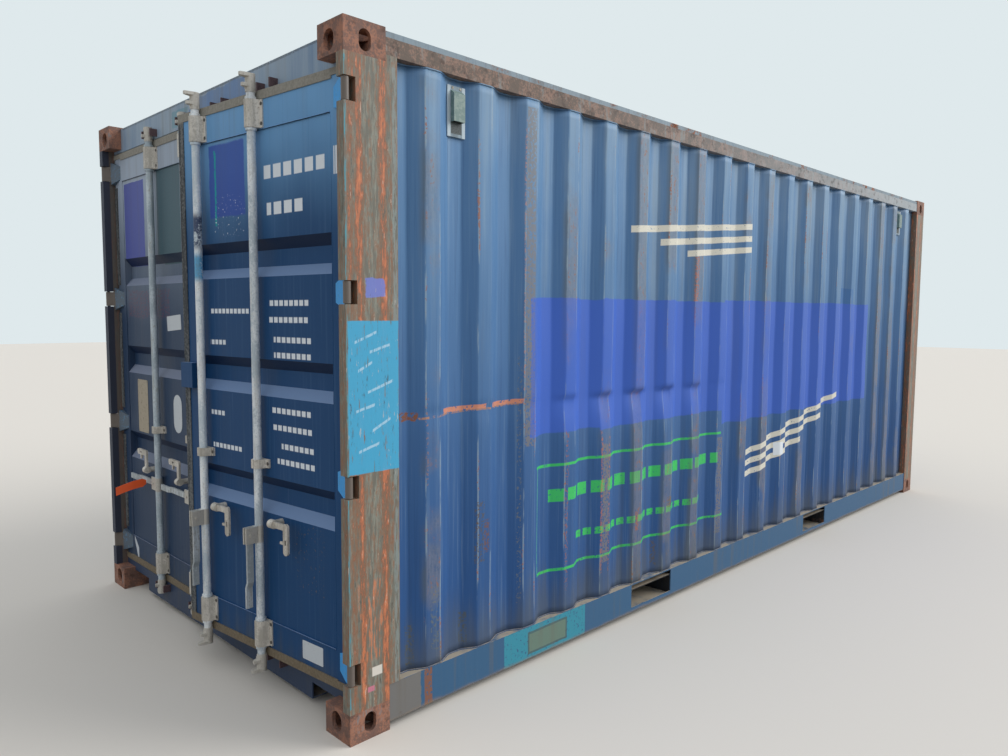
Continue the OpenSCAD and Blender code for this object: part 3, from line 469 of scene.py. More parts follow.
@dataclass(frozen=True)
class WeatheredPaint:
    """Old paint on steel, with fading, streaks, dirt and rust, painted shade on faces that look down
    and, on the doors, painted highlight on faces that look up.

    Attributes:
        name: The material's name.
        colour: Colour of the paint high up.
        low: Colour of the paint low down, or nothing for one colour.
        faded: Colour of chalked paint.
        plane: Face that its marks lie on.
        marks: What is painted over it.
        rust: Share of the surface that has rusted in blotches.
        fading: Share of the surface that has chalked.
        threads: Share of fine upright lines.
        dirt: Share of dirt that runs down it.
        soot: Colour of that dirt.
        stain: Height under which brown stains rise.
        ledge: Share of dirt on faces that look up, which on the doors is also a painted highlight on the
            ribs' slopes that look up.
        ledge_colour: Colour of faces that look up.
        steep: Whether faces at a slant count among them.
        under: Share of shade on faces that look down.
        roughness: Its roughness.
        gloss: How strongly it mirrors.
        wear: Wear and painted shade along a wall's crests.
        span: Heights of the low and the high colour.
        shift: Distance that moves all patterns.
    """

    name: str
    colour: str
    low: str = ""
    faded: str = "#8ba6bd"
    plane: Plane = Plane.SIDE
    marks: tuple[PaintMark, ...] = ()
    rust: float = 0.1
    fading: float = 0.3
    threads: float = 0.25
    dirt: float = 0.3
    soot: str = "#4c4f50"
    stain: float = 0.0
    ledge: float = 0.8
    ledge_colour: str = "#a89b88"
    steep: bool = False
    under: float = 0.0
    roughness: float = 0.5
    gloss: float = 0.25
    wear: CrestWear | None = None
    span: Span = (0.3, 2.4)
    shift: float = 0.0

    def build(self) -> bpy.types.Material:
        """Builds the finish.

        Returns:
            The material.
        """
        sheet = ShaderSheet(self.name)
        shift = self.shift
        broad = sheet.noise(1.3, shift=shift, detail=3)
        middle = sheet.noise(8.0, shift=shift + 3)
        fine = sheet.noise(85.0, shift=shift + 7, detail=4)
        runs = sheet.streaks(15.0, shift + 1, 0.035)
        threads = sheet.streaks(70.0, shift + 5, 0.02)
        colour: Feed = srgb(self.colour)
        if self.low:
            level = sheet.math("MULTIPLY_ADD", broad, 0.5, sheet.math("ADD", sheet.z, -0.25))
            colour = sheet.blend(sheet.window(level, *self.span), srgb(self.low), colour)
        chalk = sheet.total((runs, 0.45), (broad, 0.25), (sheet.z, 0.12))
        chalk = sheet.window(chalk, 0.66 - 0.3 * self.fading, 0.86 - 0.3 * self.fading)
        colour = sheet.lay(colour, self.faded, chalk, 0.7)
        colour = sheet.lay(colour, self.faded, sheet.window(threads, 0.52, 0.74), self.threads)
        colour = sheet.lay(colour, "#1b3a63", sheet.window(threads, 0.48, 0.3), self.threads)
        colour = self._mark(sheet, colour, False, middle, fine)
        if self.wear:
            colour = self.wear.paint(sheet, colour, fine, shift)
        dirty = sheet.times(sheet.window(runs, 0.5, 0.66), sheet.window(broad, 0.36, 0.6))
        colour = sheet.lay(colour, self.soot, dirty, self.dirt)
        blotch = sheet.total((middle, 0.62), (fine, 0.28), (broad, 0.2))
        bite = 0.8 - 0.32 * self.rust
        rusted = sheet.window(blotch, bite, bite + 0.035)
        tone = sheet.blend(sheet.window(fine, 0.44, 0.62), srgb("#54382c"), srgb("#a4623f"))
        colour = sheet.lay(colour, "#6a5a50", sheet.window(blotch, bite - 0.07, bite), 0.35)
        colour = sheet.blend(rusted, colour, tone)
        colour = self._mark(sheet, colour, True, middle, fine)
        if self.stain:
            climb = sheet.math("MULTIPLY_ADD", runs, -0.5, sheet.math("ADD", sheet.z, 0.25))
            colour = sheet.lay(colour, "#5b5a4a", sheet.window(climb, self.stain, self.stain - 0.3), 0.5)
        # Painted shade: faces that look down are darkened towards navy.
        if self.under:
            colour = sheet.lay(colour, "#0d2140", sheet.window(sheet.up, -0.15, -0.4), self.under)
        # Faces that look up take dust; on the doors, with steep set, this pale tone is also a painted
        # highlight.
        if self.ledge:
            slants = (0.35, 0.6) if self.steep else (0.6, 0.9)
            flat = sheet.window(sheet.up, *slants)
            patchy = 1.0 if self.steep else sheet.window(middle, 0.25, 0.5)
            colour = sheet.lay(colour, self.ledge_colour, flat, patchy, self.ledge)
        rough = sheet.total((rusted, 0.3), (fine, 0.16), (1.0, self.roughness - 0.08))
        sheet.bump(sheet.math("MULTIPLY_ADD", middle, 0.4, sheet.times(rusted, fine)), 0.001, 0.4)
        return sheet.finish(colour, rough, gloss=self.gloss)

    def _mark(self, sheet: ShaderSheet, colour: Feed, fresh: bool, middle: Feed, fine: Feed) -> Feed:
        """Lays the marks of one age over a colour."""
        chosen = [mark for mark in self.marks if mark.fresh == fresh]
        return lay_marks(sheet, colour, chosen, self.plane, middle, fine)


@dataclass(frozen=True)
class StreakedPaint:
    """Paint on the posts that is worn through in upright streaks.

    Attributes:
        name: The material's name.
        marks: What is painted over it.
        columns: Distance from the middle of the length, half width and weight of rusty columns.
        shaded: Whether its faces next to the door are painted dark, with navy paint and painted shade in
            the recess beside the door.
        shift: Distance that moves all patterns.
    """

    name: str
    marks: tuple[PaintMark, ...] = ()
    columns: tuple[tuple[float, float, float], ...] = (
        (2.968, 0.012, 0.1), (2.866, 0.015, 0.1), (3.0, 0.012, 0.05), (2.918, 0.02, -0.02),
    )
    shaded: bool = False
    shift: float = 0.0

    def build(self) -> bpy.types.Material:
        """Builds the finish and returns the material."""
        sheet = ShaderSheet(self.name)
        middle = sheet.noise(9.0, shift=self.shift)
        fine = sheet.noise(130.0, (1.0, 1.0, 0.24), self.shift + 3)
        broad = sheet.streaks(8.0, self.shift + 5, 0.12)
        runs = sheet.streaks(42.0, self.shift + 7, 0.08)
        threads = sheet.streaks(130.0, self.shift + 9, 0.1)
        colour = sheet.blend(sheet.window(threads, 0.4, 0.62), srgb("#6c6a60"), srgb("#8b8d81"))
        across = sheet.math("MULTIPLY_ADD", broad, 0.016, sheet.math("ABSOLUTE", sheet.x))
        rust = sheet.total((runs, 0.32), (threads, 0.26), (fine, 0.42))
        for centre, half, weight in self.columns:
            inside = sheet.near(across, centre + 0.008, half, 0.008)
            rust = sheet.math("MULTIPLY_ADD", inside, weight, rust)
        colour = sheet.lay(colour, "#87664f", sheet.window(rust, 0.46, 0.55), 0.85)
        colour = sheet.lay(colour, "#6a4434", sheet.window(rust, 0.56, 0.58), 0.4)
        colour = sheet.lay(colour, "#bd7250", sheet.window(rust, 0.575, 0.64), 0.9)
        colour = sheet.lay(colour, "#d6875c", sheet.window(rust, 0.64, 0.7), 0.75)
        colour = lay_marks(sheet, colour, self.marks, Plane.SIDE, middle, threads)
        chips = sheet.window(sheet.total((threads, 0.5), (fine, 0.5)), 0.605, 0.65)
        colour = sheet.lay(colour, "#c3beb2", chips, 0.7)
        dark = sheet.window(sheet.total((runs, 0.4), (fine, 0.6)), 0.42, 0.35)
        colour = sheet.lay(colour, "#41352f", dark, 0.65)
        # The faces beside the door take a brown-grey, and near the front navy paint with painted shade
        # of the recess.
        if self.shaded:
            inside = sheet.window(sheet.math("ABSOLUTE", sheet.y), 1.2188, 1.2182)
            colour = sheet.lay(colour, "#5c5855", inside, 0.8)
            colour = sheet.lay(colour, "#2b3346", inside, sheet.window(sheet.x, -2.992, -2.998), 0.92)
        sheet.bump(sheet.math("MULTIPLY_ADD", threads, 0.5, fine), 0.0008, 0.5)
        return sheet.finish(colour, sheet.math("MULTIPLY_ADD", fine, 0.25, 0.5))


@dataclass(frozen=True)
class CastSteel:
    """Rusty brown steel with a rough skin and remains of paint.

    Attributes:
        name: The material's name.
        colour: Colour of its dark skin.
        scale_colour: Colour of loose scale.
        paint: Colour of what is left of the paint.
        left: Share of paint that is left.
        far: Paler colour that it takes towards the blind end, or nothing.
    """

    name: str
    colour: str = "#75594f"
    scale_colour: str = "#a0705a"
    paint: str = "#7d8184"
    left: float = 0.4
    far: str = ""

    def build(self) -> bpy.types.Material:
        """Builds the finish and returns the material."""
        sheet = ShaderSheet(self.name)
        middle = sheet.noise(16.0)
        fine = sheet.noise(120.0, shift=2, detail=5)
        runs = sheet.streaks(40.0, 0.0, 0.1)
        patch = sheet.total((fine, 0.45), (middle, 0.55))
        colour = sheet.blend(sheet.window(patch, 0.44, 0.58), srgb(self.colour), srgb(self.scale_colour))
        level = 0.65 - 0.2 * self.left
        kept = sheet.window(sheet.total((runs, 0.5), (middle, 0.5)), level, level + 0.07)
        colour = sheet.lay(colour, self.paint, kept, 0.7)
        if self.far:
            colour = sheet.lay(colour, self.far, sheet.window(sheet.x, -2.2, 3.4), 0.75)
        colour = sheet.lay(colour, "#3a2b27", sheet.window(sheet.noise(26.0, shift=9), 0.52, 0.7), 0.6)
        sheet.bump(sheet.math("ADD", fine, middle), 0.0014, 0.6)
        return sheet.finish(colour, sheet.math("MULTIPLY_ADD", fine, 0.25, 0.62))


@dataclass(frozen=True)
class ZincCoat:
    """Dull zinc on lock gear, with white bloom, grime and bands of old paint.

    Attributes:
        name: The material's name.
        bands: Heights and colours of paint that reaches round the piece.
        fittings: Heights between which the piece is coated in dirty cream.
        colour: Colour of bare zinc.
        bloom: Colour of white bloom.
        grime: Share of brown grime.
        rust: Share of rust spots.
    """

    name: str
    bands: tuple[tuple[Span, str], ...] = ()
    fittings: tuple[Span, ...] = ()
    colour: str = "#a9b0b0"
    bloom: str = "#c9cfce"
    grime: float = 0.5
    rust: float = 0.0

    def build(self) -> bpy.types.Material:
        """Builds the finish and returns the material."""
        sheet = ShaderSheet(self.name)
        middle = sheet.noise(14.0, (1.0, 1.0, 0.5))
        fine = sheet.noise(110.0, shift=4)
        runs = sheet.streaks(60.0, 0.0, 0.08)
        soft = sheet.total((fine, 0.35), (middle, 0.65))
        colour = sheet.blend(sheet.window(soft, 0.42, 0.58), srgb(self.colour), srgb(self.bloom))
        for span in self.fittings:
            colour = sheet.lay(colour, "#c3beb4", self._band(sheet, span, 0.004))
        for span, code in self.bands:
            worn = sheet.window(soft, 0.42, 0.5)
            colour = sheet.lay(colour, code, self._band(sheet, span, 0.02), worn)
        dirty = sheet.window(sheet.total((runs, 0.4), (middle, 0.3), (fine, 0.3)), 0.5, 0.6)
        colour = sheet.lay(colour, "#7a7163", dirty, self.grime)
        level = 0.68 - 0.4 * self.rust
        colour = sheet.lay(colour, "#6d4e3c", sheet.window(soft, level, level + 0.04), 0.8)
        sheet.bump(fine, 0.0004, 0.3)
        return sheet.finish(colour, sheet.math("MULTIPLY_ADD", fine, 0.2, 0.45), 0.15)

    @staticmethod
    def _band(sheet: ShaderSheet, span: Span, edge: float) -> bpy.types.NodeSocket:
        """Tells where the height is within a span."""
        return sheet.near(sheet.z, (span[0] + span[1]) / 2, (span[1] - span[0]) / 2, edge)


@dataclass(frozen=True)
class HingeCoat:
    """Paint on the hinge blades, worn to dirty steel round the pins."""

    name: str
    side: Side
    colour: str

    def build(self) -> bpy.types.Material:
        """Builds the finish and returns the material."""
        sheet = ShaderSheet(self.name)
        fine = sheet.noise(90.0)
        away = sheet.node("CombineXYZ", sheet.x, sheet.y, 0.0).outputs[0]
        pin = (HINGE_X, self.side.value * HINGE_Y, 0.0)
        reach = sheet.node("VectorMath", away, pin, operation="DISTANCE").outputs["Value"]
        rough = sheet.math("MULTIPLY_ADD", fine, 0.02, reach)
        colour = sheet.lay(srgb(self.colour), "#5690b8", sheet.window(fine, 0.54, 0.7), 0.8)
        colour = sheet.lay(colour, "#6b625b", sheet.window(rough, 0.062, 0.05))
        return sheet.finish(colour, 0.45)


@dataclass(frozen=True)
class VentCoat:
    """Grey flange with pale edges and a painted mesh mouth whose dark holes are painted shade, and
    grey-green hood of the ventilators.
    """

    name: str
    face: float = 1.1885
    middle: float = 2.4885

    def build(self) -> bpy.types.Material:
        """Builds the finish and returns the material."""
        sheet = ShaderSheet(self.name)
        fine = sheet.noise(60.0)
        runs = sheet.streaks(50.0, 2.0, 0.1)
        across = sheet.math("SUBTRACT", sheet.math("ABSOLUTE", sheet.x), self.middle)
        colour = sheet.blend(sheet.window(runs, 0.42, 0.6), srgb("#869aa5"), srgb("#6a7b84"))
        inner = sheet.times(sheet.near(across, 0.0, 0.03), sheet.window(sheet.z, 2.266, 2.27))
        colour = sheet.blend(inner, srgb("#b3c2ca"), colour)
        # The mouth is painted: a mesh over dark holes, which are painted shade of the hood's hollow.
        mesh = sheet.times(sheet.near(across, 0.0, 0.028), sheet.near(sheet.z, 2.31, 0.026))
        holes = sheet.window(sheet.noise(420.0, detail=1), 0.45, 0.55)
        colour = sheet.blend(mesh, colour, sheet.blend(holes, srgb("#1c2325"), srgb("#454f4f")))
        hood = sheet.blend(sheet.window(fine, 0.42, 0.6), srgb("#6c837f"), srgb("#84968f"))
        out = sheet.window(sheet.math("ABSOLUTE", sheet.y), self.face, self.face + 0.001)
        return sheet.finish(sheet.blend(out, colour, hood), 0.55)


@dataclass(frozen=True)
class DustyRubber:
    """Dark rubber, dusty at the top and muddy at the bottom."""

    name: str

    def build(self) -> bpy.types.Material:
        """Builds the finish and returns the material."""
        sheet = ShaderSheet(self.name)
        runs = sheet.streaks(30.0, 0.0, 0.1)
        fine = sheet.noise(90.0)
        share = sheet.window(sheet.total((runs, 0.5), (fine, 0.5)), 0.43, 0.58)
        colour = sheet.blend(share, srgb("#3e4144"), srgb("#707272"))
        dust = sheet.blend(fine, srgb("#7a766c"), srgb("#aeaa9f"))
        colour = sheet.blend(sheet.times(sheet.window(sheet.z, 2.405, 2.42), 0.85), colour, dust)
        mud = sheet.blend(fine, srgb("#57503f"), srgb("#94826a"))
        colour = sheet.blend(sheet.times(sheet.window(sheet.z, 0.2, 0.185), 0.9), colour, mud)
        sheet.bump(fine, 0.0004, 0.5)
        return sheet.finish(colour, 0.85)


@dataclass(frozen=True)
class FloorBoards:
    """Worn hardwood boards that run along the container."""

    name: str
    board: float = 0.19
    colour: str = "#7a5a3c"
    dark: str = "#54402c"

    def build(self) -> bpy.types.Material:
        """Builds the finish and returns the material."""
        sheet = ShaderSheet(self.name)
        step = sheet.math("MULTIPLY", sheet.y, 1 / self.board)
        gap = sheet.window(sheet.math("PINGPONG", step, 0.5), 0.0, 0.03)
        tint = sheet.node("TexWhiteNoise", noise_dimensions="1D")
        sheet.feed(tint.inputs["W"], sheet.math("FLOOR", step))
        grain = sheet.noise(26.0, (0.06, 1.0, 1.0), detail=8)
        colour = sheet.blend(grain, srgb(self.dark), srgb(self.colour))
        colour = sheet.lay(colour, "#8b6b49", tint.outputs[0], 0.4)
        colour = sheet.blend(gap, srgb("#1c1612"), colour)
        sheet.bump(sheet.math("MULTIPLY_ADD", grain, 0.2, gap), 0.002, 0.8)
        return sheet.finish(colour, 0.7)


@dataclass(frozen=True)
class PlainFinish:
    """A small piece's finish: one colour with grime worn into it."""

    name: str
    colour: str
    grime: str = "#5a5147"
    share: float = 0.4
    roughness: float = 0.5
    metallic: float = 0.0

    def build(self) -> bpy.types.Material:
        """Builds the finish and returns the material."""
        sheet = ShaderSheet(self.name)
        patch = sheet.noise(55.0, detail=6)
        fine = sheet.noise(260.0, shift=3)
        level = 0.66 - 0.3 * self.share
        dirty = sheet.window(sheet.total((fine, 0.4), (patch, 0.6)), level, level + 0.14)
        sheet.bump(fine, 0.0003, 0.4)
        colour = sheet.lay(srgb(self.colour), self.grime, dirty)
        return sheet.finish(colour, self.roughness, self.metallic)


class GrowthTree:
    """A geometry tree under construction, with short calls that add nodes to it."""

    def __init__(self, name: str) -> None:
        """Starts a tree that takes and gives geometry.

        Args:
            name: The tree's name.
        """
        self.tree = bpy.data.node_groups.new(name, "GeometryNodeTree")
        self.tree.interface.new_socket("Geometry", in_out="INPUT", socket_type="NodeSocketGeometry")
        self.tree.interface.new_socket("Geometry", in_out="OUTPUT", socket_type="NodeSocketGeometry")
        self.entry = self.tree.nodes.new("NodeGroupInput")

    def number(self, label: str, kind: str = "Float") -> bpy.types.NodeSocket:
        """Adds a named input and returns its socket inside the tree."""
        self.tree.interface.new_socket(label, in_out="INPUT", socket_type="NodeSocket" + kind)
        return self.entry.outputs[label]

    def node(self, kind: str, inputs: dict[str, Feed], **settings: object) -> bpy.types.Node:
        """Adds a node.

        Args:
            kind: The node's type, with its prefix.
            inputs: What goes into its named inputs.
            settings: Properties of the node.

        Returns:
            The new node.
        """
        made = self.tree.nodes.new(kind)
        for key, setting in settings.items():
            setattr(made, key, setting)
        for label, value in inputs.items():
            if isinstance(value, bpy.types.NodeSocket):
                self.tree.links.new(value, made.inputs[label])
            else:
                made.inputs[label].default_value = value
        return made

    def math(self, operation: str, *values: Feed) -> bpy.types.NodeSocket:
        """Adds a math node and returns its result."""
        made = self.node("ShaderNodeMath", {}, operation=operation)
        for socket, value in zip(made.inputs, values):
            if isinstance(value, bpy.types.NodeSocket):
                self.tree.links.new(value, socket)
            else:
                socket.default_value = value
        return made.outputs[0]

    def close(self, geometry: bpy.types.NodeSocket) -> bpy.types.NodeTree:
        """Ends the tree in realised instances with a material.

        Args:
            geometry: What the tree has made.

        Returns:
            The finished tree.
        """
        material = self.number("Material", "Material")
        real = self.node("GeometryNodeRealizeInstances", {"Geometry": geometry})
        dressed = self.node(
            "GeometryNodeSetMaterial", {"Geometry": real.outputs[0], "Material": material}
        )
        leave = self.tree.nodes.new("NodeGroupOutput")
        self.tree.links.new(dressed.outputs[0], leave.inputs[0])
        return self.tree


def bay_tree() -> bpy.types.NodeTree:
    """Builds the tree that repeats one bay along the container and welds the bays.

    Returns:
        A tree with the inputs Count and Pitch.
    """
    grow = GrowthTree("repeat_bay")
    count = grow.number("Count", "Int")
    pitch = grow.number("Pitch")
    start = grow.math("MULTIPLY", grow.math("MULTIPLY_ADD", count, -0.5, 0.5), pitch)
    first = grow.node("ShaderNodeCombineXYZ", {"X": start})
    step = grow.node("ShaderNodeCombineXYZ", {"X": pitch})
    places = grow.node(
        "GeometryNodeMeshLine",
        {"Count": count, "Start Location": first.outputs[0], "Offset": step.outputs[0]},
        mode="OFFSET",
    )
    bays = grow.node(
        "GeometryNodeInstanceOnPoints",
        {"Points": places.outputs[0], "Instance": grow.entry.outputs["Geometry"]},
    )
    real = grow.node("GeometryNodeRealizeInstances", {"Geometry": bays.outputs[0]})
    joined = grow.node("GeometryNodeMergeByDistance", {"Geometry": real.outputs[0], "Distance": 0.0002})
    return grow.close(joined.outputs[0])


def bead_tree() -> bpy.types.NodeTree:
    """Builds the tree that lays a weld bead along the edges it is given.

    Returns:
        A tree with the inputs Radius, Step and Swell.
    """
    grow = GrowthTree("weld_bead")
    radius = grow.number("Radius")
    step = grow.number("Step")
    swell = grow.number("Swell")
    path = grow.node("GeometryNodeMeshToCurve", {"Mesh": grow.entry.outputs["Geometry"]})
    even = grow.node(
        "GeometryNodeResampleCurve", {"Curve": path.outputs[0], "Length": step}, mode="LENGTH"
    )
    grain = grow.node("ShaderNodeTexNoise", {"Scale": 60.0, "Detail": 2.0})
    scaled = grow.math("MULTIPLY_ADD", grain.outputs[0], swell, radius)
    thick = grow.node("GeometryNodeSetCurveRadius", {"Curve": even.outputs[0], "Radius": scaled})
    ring = grow.node("GeometryNodeCurvePrimitiveCircle", {"Resolution": 6, "Radius": 1.0})
    bead = grow.node(
        "GeometryNodeCurveToMesh",
        {"Curve": thick.outputs[0], "Profile Curve": ring.outputs[0], "Fill Caps": True},
    )
    if "Scale" in bead.inputs:
        radii = grow.node("GeometryNodeInputRadius", {})
        grow.tree.links.new(radii.outputs[0], bead.inputs["Scale"])
    return grow.close(bead.outputs[0])


def fastener_tree() -> bpy.types.NodeTree:
    """Builds the tree that sets a washer and a head on each point, along its aim.

    Returns:
        A tree with the inputs Radius, Height and Sides.
    """
    grow = GrowthTree("set_fasteners")
    radius = grow.number("Radius")
    height = grow.number("Height")
    sides = grow.number("Sides", "Int")
    top = grow.math("MULTIPLY", radius, 0.72)
    head = grow.node(
        "GeometryNodeMeshCone",
        {"Vertices": sides, "Radius Top": top, "Radius Bottom": radius, "Depth": height},
    )
    rim = grow.math("MULTIPLY", radius, 1.45)
    washer = grow.node(
        "GeometryNodeMeshCone",
        {"Vertices": 14, "Radius Top": rim, "Radius Bottom": rim, "Depth": 0.0016},
    )
    both = grow.node("GeometryNodeJoinGeometry", {})
    grow.tree.links.new(head.outputs[0], both.inputs[0])
    grow.tree.links.new(washer.outputs[0], both.inputs[0])
    aim = grow.node("GeometryNodeInputNamedAttribute", {"Name": "aim"}, data_type="FLOAT_VECTOR")
    turned = grow.node("FunctionNodeAlignRotationToVector", {"Vector": aim.outputs[0]}, axis="Z")
    spots = grow.node("GeometryNodeMeshToPoints", {"Mesh": grow.entry.outputs["Geometry"]})
    placed = grow.node(
        "GeometryNodeInstanceOnPoints",
        {"Points": spots.outputs[0], "Instance": both.outputs[0], "Rotation": turned.outputs[0]},
    )
    return grow.close(placed.outputs[0])


def new_piece(name: str, mesh: bpy.types.Mesh) -> bpy.types.Object:
    """Puts a mesh into the scene as an object at the origin."""
    piece = bpy.data.objects.new(name, mesh)
    bpy.context.scene.collection.objects.link(piece)
    return piece


def piece_from(
    name: str,
    points: Sequence[Sequence[float]],
    faces: Sequence[Sequence[int]],
    edges: Sequence[Sequence[int]] = (),
) -> bpy.types.Object:
    """Makes an object of points, faces and loose edges.

    Args:
        name: The object's name.
        points: Places of its vertices.
        faces: Vertex numbers of each face.
        edges: Vertex numbers of each loose edge.

    Returns:
        The new object.
    """
    mesh = bpy.data.meshes.new(name)
    mesh.from_pydata([tuple(p) for p in points], [tuple(e) for e in edges], [tuple(f) for f in faces])
    mesh.update()
    return new_piece(name, mesh)


def grow_piece(
    piece: bpy.types.Object, tree: bpy.types.NodeTree, material: bpy.types.Material, **sizes: float
) -> bpy.types.Object:
    """Runs a geometry tree on a piece and keeps the result as its plain mesh.

    Args:
        piece: The object that the tree starts from.
        tree: The geometry tree.
        material: The finish of what the tree makes.
        sizes: Values of the tree's named inputs, with the first letter small.

    Returns:
        The same object.
    """
    modifier = piece.modifiers.new(tree.name, "NODES")
    modifier.node_group = tree
    values: dict[str, object] = {key.capitalize(): value for key, value in sizes.items()}
    values["Material"] = material
    for item in tree.interface.items_tree:
        if item.in_out == "INPUT" and item.name in values:
            modifier[item.identifier] = values[item.name]
    graph = bpy.context.evaluated_depsgraph_get()
    grown = piece.evaluated_get(graph)
    mesh = bpy.data.meshes.new_from_object(grown, preserve_all_data_layers=True, depsgraph=graph)
    piece.modifiers.remove(modifier)
    old = piece.data
    piece.data = mesh
    bpy.data.meshes.remove(old)
    mesh.name = piece.name
    if material.name not in [m.name for m in mesh.materials if m]:
        mesh.materials.clear()
        mesh.materials.append(material)
    return piece


def dress(piece: bpy.types.Object, material: bpy.types.Material) -> None:
    """Gives a piece one finish all over."""
    piece.data.materials.clear()
    piece.data.materials.append(material)


def smooth(piece: bpy.types.Object, angle: float = 40.0) -> None:
    """Shades a piece smoothly, with edges over an angle in degrees kept sharp."""
    mesh = piece.data
    form = bmesh.new()
    form.from_mesh(mesh)
    limit = math.radians(angle)
    for face in form.faces:
        face.smooth = True
    for edge in form.edges:
        edge.smooth = len(edge.link_faces) != 2 or edge.calc_face_angle(0.0) < limit
    form.to_mesh(mesh)
    form.free()


@dataclass(frozen=True)
class Fastener:
    """Size of a bolt or rivet head."""

    radius: float
    height: float
    sides: int = 12


class Finish(Protocol):
    """Anything that builds one material."""

    def build(self) -> bpy.types.Material:
        """Builds the finish and returns the material."""


class Workshop:
    """The finishes and geometry trees that the sub-assemblies share."""

    def __init__(self, frame: dict) -> None:
        """Builds what all pieces share.

        Args:
            frame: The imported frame.
        """
        self.frame = frame
        self.bays = bay_tree()
        self.beads = bead_tree()
        self.fasteners = fastener_tree()
        zinc = PlainFinish("fitting_zinc", "#a29c8f", share=0.6, roughness=0.55, metallic=0.3)
        self.zinc = zinc.build()
        self.dark = PlainFinish("dark_fitting", "#55504a", share=0.5, roughness=0.6).build()

    def dress_nodes(self, finish: bpy.types.Material, nodes: Iterable[str]) -> None:
        """Gives one finish to nodes of the frame."""
        for node in nodes:
            part = self.frame["nodes"][node]
            for slot in part.material_slots:
                slot.material = finish

    def dress_each(self, *pairs: tuple[Finish, Iterable[str]]) -> None:
        """Builds finishes and gives each to its own nodes."""
        for finish, nodes in pairs:
            self.dress_nodes(finish.build(), nodes)

    def fix(
        self, name: str, body: str, head: Fastener, places: Sequence[tuple[Vector, Vector]],
        finish: bpy.types.Material, slot: str,
    ) -> bpy.types.Object:
        """Sets a group of fasteners that rides on one body.

        Args:
            name: The group's name.
            body: The body it rides on.
            head: The size of one head.
            places: Seat and outward direction of each head.
            finish: Its finish.
            slot: The record's slot that stands for the finish; not used.

        Returns:
            The group as one object.
        """
        piece = piece_from(name, [seat for seat, _ in places], [])
        aims = piece.data.attributes.new("aim", "FLOAT_VECTOR", "POINT")
        for item, (_, aim) in zip(aims.data, places):
            item.vector = aim
        sizes = {"radius": head.radius, "height": head.height, "sides": head.sides}
        grow_piece(piece, self.fasteners, finish, **sizes)
        self.hang(piece, body, slot)
        return piece

    def bead(
        self, name: str, body: str, lines: Sequence[Sequence[Sequence[float]]], radius: float, slot: str,
        finish: bpy.types.Material,
    ) -> bpy.types.Object:
        """Lays weld beads along lines.

        Args:
            name: The beads' name.
            body: The body they ride on.
            lines: The lines, each a row of points.
            radius: Radius of a bead.
            slot: The record's slot that stands for the finish; not used.
            finish: Its finish.

        Returns:
            The beads as one object.
        """
        points: list[Sequence[float]] = []
        edges: list[tuple[int, int]] = []
        for line in lines:
            edges += [(len(points) + i, len(points) + i + 1) for i in range(len(line) - 1)]
            points += list(line)
        piece = piece_from(name, points, [], edges)
        grow_piece(piece, self.beads, finish, radius=radius * 0.7, step=0.012, swell=radius * 0.6)
        smooth(piece, 60)
        self.hang(piece, body, slot)
        return piece

    @staticmethod
    def hang(piece: bpy.types.Object, body: str, slot: str) -> None:
        """Ties a finished piece to a body and logs its face count."""
        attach(piece, body)
        LOG.info("%s: %d faces on %s", piece.name, len(piece.data.polygons), body)


@dataclass(frozen=True)
class Dent:
    """A push into the side wall, with a crease above it.

    Attributes:
        x: Its centre along the wall.
        z: Height of the crease.
        reach: Half its length.
        rise: Height over which it fades out upwards.
        fall: Height over which it fades out downwards.
        depth: How far the crests are pushed in.
    """

    x: float
    z: float
    reach: float
    rise: float
    fall: float
    depth: float

    def push(self, x: float, z: float) -> float:
        """Works out how far the sheet is pushed in at a place."""
        height = self.rise if z > self.z else self.fall
        return self.depth * math.exp(-(((x - self.x) / self.reach) ** 2) - ((z - self.z) / height) ** 2)


